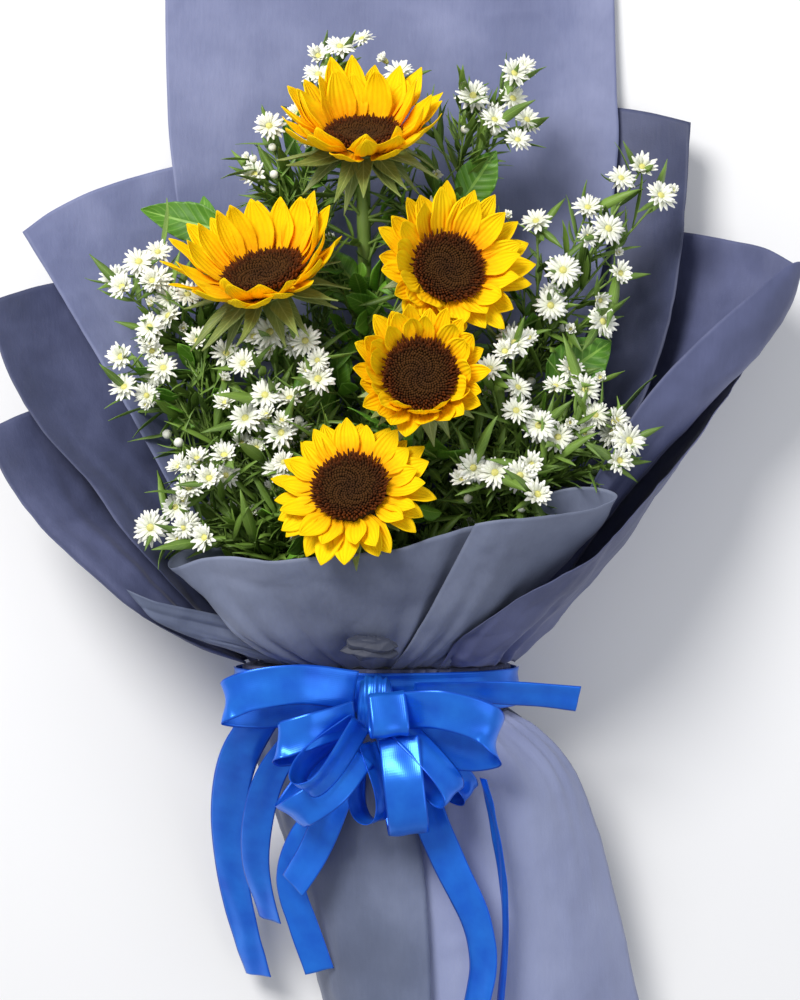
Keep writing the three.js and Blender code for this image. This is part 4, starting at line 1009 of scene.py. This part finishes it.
def crush(grid, seed, depth):  # facets and creases of crumpled paper; gives heights and where it is creased
    heights = np.zeros(grid.shape[:2])
    creases = np.zeros(grid.shape[:2])
    shift = Vector((seed * 1.7, seed * 0.9, seed * 2.3))
    for spot in np.ndindex(heights.shape):
        p = Vector(grid[spot])
        wide = noise.noise(p * 11 + shift)
        bent = p + noise.noise_vector(p * 16 + shift) * 0.012
        near = noise.voronoi(bent * 19 + shift)[0]
        fine = noise.voronoi(bent * 46 + shift)[0]
        ridge = min((near[1] - near[0]) * 2.2, 1)
        small = min((fine[1] - fine[0]) * 2.2, 1)
        heights[spot] = depth * (1.6 * wide + 1.1 * (ridge - 0.6) + 0.45 * (small - 0.6)) * mm
        creases[spot] = max(0, 1 - ridge * 5) + 0.5 * max(0, 1 - small * 4)
    return heights, np.clip(creases, 0, 1)


def normals(grid):
    across = np.cross(np.gradient(grid, axis=1), np.gradient(grid, axis=0))
    return across / np.maximum(np.linalg.norm(across, axis=2, keepdims=True), 1e-12)


def triangleWave(value):
    return 4 * np.abs((value % 1) - 0.5) - 1


def makeSheet(name, make, seed):
    coarse = sheetGrid(name, paper["wall"], startsAt=neckPlace + Vector((0, -0.0155 if "skirt" in name else 0.0155, 0)))
    length = np.linalg.norm(np.diff(coarse, axis=0), axis=2).sum(axis=0).mean()
    breadth = np.linalg.norm(np.diff(coarse, axis=1), axis=2).sum(axis=1)
    grid = refined(coarse, int(length / paper["cell"]), int(breadth.max() / paper["cell"]))
    t = np.linspace(0, 1, grid.shape[0])[:, None]
    s = np.linspace(0, 1, grid.shape[1])[None, :]
    far = t * length
    wander = np.array([noise.noise(Vector((x * 6, seed * 3.1, 0))) for x in s[0]])[None, :]
    drift = np.array([noise.noise(Vector((x * 14, seed * 1.3, 5))) for x in far[:, 0]])[:, None]
    strength = make["depth"] * mm * np.exp(-(far / (make["reach"] * mm)) ** 2) * np.minimum(0.45 + far / 0.04, 1)
    folds = triangleWave(s * make["folds"] + wander * 0.9 + drift * 0.25)
    heights, creases = crush(grid, seed, make["crush"])
    fade = np.minimum(0.25 + far / 0.05, 1)
    grid = grid + normals(grid) * (strength * folds + heights * fade)[..., None]
    grid[..., 2] = np.maximum(grid[..., 2], paper["thickness"] / 2 + 0.1 * mm)
    creases = np.clip(creases + (folds > 0.86) * np.exp(-(far / (make["reach"] * mm)) ** 2), 0, 1)
    mesh = shellMesh(name, grid, paper["thickness"], materials[make["finish"]], {"crease": creases})
    piece = finish(name.replace("_sheet", "_wrap") + "_paper", mesh, "wrap_paper", name)


for sheetSeed, (sheetName, sheetMake) in enumerate(wraps.items()):
    makeSheet(sheetName, sheetMake, sheetSeed + 1)
print("paper ready")

# the paper bunched under the ribbon, and the screwed-up piece over the knot
gather = {"pleats": 46, "depth": 0.06, "around": 552, "steps": 14}
tuck = {"detail": 6, "crush": 0.24, "shrink": 0.92}


def makeGather():
    low, high = (Vector(c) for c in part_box("gathered_paper"))
    holeLow, holeHigh = (Vector(c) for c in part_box("stem_tie"))
    middle, half = (low + high) / 2, (high - low) / 2
    bundle, room = (holeLow + holeHigh) / 2, (holeHigh - holeLow) / 2
    around = np.linspace(0, 2 * math.pi, gather["around"] + 1)
    wander = np.array([noise.noise(Vector((math.cos(a) * 3, math.sin(a) * 3, 1))) for a in around])
    wander[-1] = wander[0]
    fold = 1 - gather["depth"] * (0.5 + 0.5 * triangleWave(around / (2 * math.pi) * gather["pleats"] + wander * 1.2))
    outer = [(middle.x + half.x * fold[k] * math.cos(a), middle.z + half.z * fold[k] * math.sin(a)) for k, a in enumerate(around)]
    inner = [(bundle.x + room.x * 0.98 * math.cos(a), bundle.z + room.z * 0.98 * math.sin(a)) for a in around]
    ends = np.linspace(low.y, high.y, gather["steps"])
    section = [(0, ends[0])] + [(1, y) for y in ends] + [(0, ends[-1])]
    rows = [[((inner, outer)[side][k][0], y, (inner, outer)[side][k][1]) for k in range(len(around) - 1)] for side, y in section]
    count = len(around) - 1
    work = bmesh.new()
    rings = [[work.verts.new(p) for p in row] for row in rows]
    for a, b in zip(rings, rings[1:] + rings[:1]):
        for k in range(count):
            n = (k + 1) % count
            work.faces.new((a[k], b[k], b[n], a[n]))
    bmesh.ops.recalc_face_normals(work, faces=work.faces)
    mesh = bpy.data.meshes.new("gatheredPaper")
    work.to_mesh(mesh)
    work.free()
    mesh.materials.append(materials["paper"])
    finish("gatheredPaper", mesh, "wrap_paper", "gathered_paper")


def makeTuck():
    low, high = (Vector(c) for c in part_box("paper_tuck"))
    middle, half = (low + high) / 2, (high - low) / 2
    work = bmesh.new()
    bmesh.ops.create_icosphere(work, subdivisions=tuck["detail"], radius=1)
    layer = work.verts.layers.float.new("crease")
    for v in work.verts:
        bent = v.co + noise.noise_vector(v.co * 1.3) * 0.35
        pleat = triangleWave(bent.y * 1.1 + bent.x * 0.35 + bent.z * 0.3)
        small = triangleWave(bent.x * 0.8 - bent.y * 0.5 + 0.3)
        v[layer] = max(0, 5 * pleat - 4)
        size = tuck["shrink"] - tuck["crush"] * (0.5 + 0.5 * pleat) - 0.35 * tuck["crush"] * small
        v.co = middle + Vector(c * h * size for c, h in zip(v.co, half))
    mesh = bpy.data.meshes.new("paperTuck")
    work.to_mesh(mesh)
    work.free()
    # painted shade: the tuck takes the dark copy of the paper for the hollow in shadow
    mesh.materials.append(materials["paperHollowShade"])
    finish("paperTuck", mesh, "wrap_paper", "paper_tuck")


makeGather()
makeTuck()
print("gathered paper ready")

# ribbon
ribbon = {"thickness": 0.35 * mm, "wall": 0.8 * mm, "across": 14, "cell": 1.6 * mm, "cup": 0.9 * mm, "ripple": 0.8 * mm}
lengths = {
    "ribbon_band_front": ((0.025, 0.233), "folded"), "ribbon_band_back": ((0.025, 0.231), "folded"),
    "bow_loop_upper_left": ((0.025, 0.171), "folded"), "bow_loop_left": ((0.022, 0.114), "folded"),
    "bow_loop_lower_left": ((0.022, 0.139), "folded"), "bow_loop_lower": ((0.025, 0.139), "folded"),
    "bow_loop_right": ((0.025, 0.151), "folded"), "ribbon_end_right": ((0.018, 0.106), "laid"),
    "tail_far_left": ((0.025, 0.212), "laid"), "tail_left": ((0.02, 0.149), "laid"), "tail_middle": ((0.022, 0.088), "laid"),
    "tail_front": ((0.02, 0.12), "laid"), "tail_right": ((0.022, 0.168), "laid"), "tail_edge": ((0.012, 0.151), "laid")}


def satin(name, grid, seed, *replaced):  # a ribbon along the rows of a grid, cupped and rippled
    length = np.linalg.norm(np.diff(grid.mean(axis=1), axis=0), axis=1).sum()
    t = np.linspace(0, 1, grid.shape[0])[:, None]
    s = np.linspace(-1, 1, grid.shape[1])[None, :]
    wander = np.array([noise.noise(Vector((x * length * 40, seed * 2.7, 0))) for x in t[:, 0]])[:, None]
    slow = np.array([noise.noise(Vector((x * length * 16, seed * 5.1, 4))) for x in t[:, 0]])[:, None]
    heights = ribbon["cup"] * (s**2 - 0.4) * (0.4 + slow * 1.6) + ribbon["ripple"] * wander * s + \
        0.5 * ribbon["ripple"] * np.sin(s * 4 + slow * 5)
    if "band" in name:
        heights = 0.35 * mm * np.cos(s * 9 + slow * 3)
    grid = grid + normals(grid) * heights[..., None]
    mesh = shellMesh(name, grid, ribbon["thickness"], materials["ribbon"])
    return finish(name + "_satin", mesh, "ribbon", *replaced)


def makeRibbon(name, seed):
    coarse = sheetGrid(name, ribbon["wall"], startsAt=Vector(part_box("ribbon_knot")[0]))
    if coarse.shape[1] > 2:
        coarse = coarse.transpose(1, 0, 2)
    length = np.linalg.norm(np.diff(coarse.mean(axis=1), axis=0), axis=1).sum()
    piece = satin(name, refined(coarse, int(length / ribbon["cell"]), ribbon["across"]), seed, name)


for ribbonSeed, (ribbonName, (ribbonFlat, ribbonHeld)) in enumerate(lengths.items()):
    makeRibbon(ribbonName, ribbonSeed + 1)

# further loops of the bow: start is from the knot's middle, turn is the way they run, spread is how far they open,
# tilt is how flat they lie (90 is flat), rise is how high the far end stands
loops = {
    "loop_over_knot": {"start": (7, 15, 24), "turn": -86, "reach": 32, "spread": 8, "tilt": 80, "rise": 2, "width": 23,
                       "flat": (0.023, 0.068)},
    "loop_high_left": {"start": (-3, -2, 14), "turn": -134, "reach": 60, "spread": 10, "tilt": 42, "rise": 30, "width": 20,
                       "flat": (0.02, 0.122)},
    "loop_low_centre": {"start": (-7, -15, 6), "turn": -84, "reach": 56, "spread": 10, "tilt": 34, "rise": 12, "width": 18,
                        "flat": (0.018, 0.111)},
    "loop_low_right": {"start": (10, -12, -6), "turn": -43, "reach": 68, "spread": 8, "tilt": 50, "rise": -2, "width": 18,
                       "flat": (0.018, 0.127)},
    "loop_inner_right": {"start": (8, -4, 10), "turn": -52, "reach": 64, "spread": 9, "tilt": 48, "rise": 16, "width": 21,
                         "flat": (0.021, 0.123)},
}


def makeLoop(name, make, seed):
    knotLow, knotHigh = (Vector(c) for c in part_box("ribbon_knot"))
    start = (knotLow + knotHigh) / 2 + Vector(make["start"]) * mm
    turn, tilt = math.radians(make["turn"]), math.radians(make["tilt"])
    out = Vector((math.cos(turn), math.sin(turn), 0))
    beside = Vector((-out.y, out.x, 0))
    opening = beside * math.cos(tilt) + up * math.sin(tilt)
    edge = up * math.cos(tilt) - beside * math.sin(tilt)
    steps = int(2.2 * make["reach"] * mm / ribbon["cell"])
    rows = []
    for t in np.linspace(0.03, 0.97, steps + 1):
        along = math.sin(math.pi * t) ** 0.8
        spine = start + (out * make["reach"] + up * make["rise"]) * mm * along + \
            opening * make["spread"] * mm * math.sin(2 * math.pi * t)
        rows.append([spine + edge * make["width"] / 2 * mm * s for s in np.linspace(-1, 1, ribbon["across"] + 1)])
    piece = satin(name, np.array(rows), seed)


for loopSeed, (loopName, loopMake) in enumerate(loops.items()):
    makeLoop(loopName, loopMake, loopSeed + 30)


def makeKnot():
    low, high = (Vector(c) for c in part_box("ribbon_knot"))
    middle, half = (low + high) / 2, (high - low) / 2
    work = bmesh.new()
    bmesh.ops.create_uvsphere(work, u_segments=72, v_segments=48, radius=1, matrix=Matrix.Rotation(math.pi / 2, 4, "Y"))
    for v in work.verts:
        x = v.co.x
        radius = max(1 - abs(x) ** 3.2, 0) ** (1 / 3.2)
        turn = math.atan2(v.co.z, v.co.y)
        fold = 1 + 0.05 * math.sin(x * 11 + 1.4 * math.sin(turn * 2)) + 0.03 * math.sin(x * 23 + turn)
        pinch = 1 - 0.12 * (1 - abs(x)) * abs(math.sin(turn))
        v.co = middle + Vector((x * half.x * 0.96, math.cos(turn) * radius * fold * pinch * half.y * 0.92,
                                math.sin(turn) * radius * fold * half.z * 0.92))
    bmesh.ops.recalc_face_normals(work, faces=work.faces)
    flat = work.loops.layers.uv.new("UVMap")
    for face in work.faces:
        for corner in face.loops:
            p = corner.vert.co - middle
            corner[flat].uv = (math.atan2(p.z, p.y) * half.y, p.x)
    mesh = bpy.data.meshes.new("ribbonKnot")
    work.to_mesh(mesh)
    work.free()
    mesh.materials.append(materials["ribbon"])
    finish("ribbonKnot", mesh, "ribbon", "ribbon_knot")


makeKnot()
nodes["stem_tie"].data.materials.clear()
nodes["stem_tie"].data.materials.append(materials["twine"])
print("ribbon ready")

# floor
floorMaterial, floorTree, floorShader = newMaterial("paleFloor", Roughness=0.9)
floorShader.inputs["Base Color"].default_value = (light["floor"], light["floor"], light["floor"] * 1.01, 1)
floorMesh = bpy.data.meshes.new("floor")
floorMesh.from_pydata([(-4, -4, -0.0005), (4, -4, -0.0005), (4, 4, -0.0005), (-4, 4, -0.0005)], [], [(0, 1, 2, 3)])
floorMesh.materials.append(floorMaterial)
floor = bpy.data.objects.new("floor", floorMesh)
scene.collection.objects.link(floor)
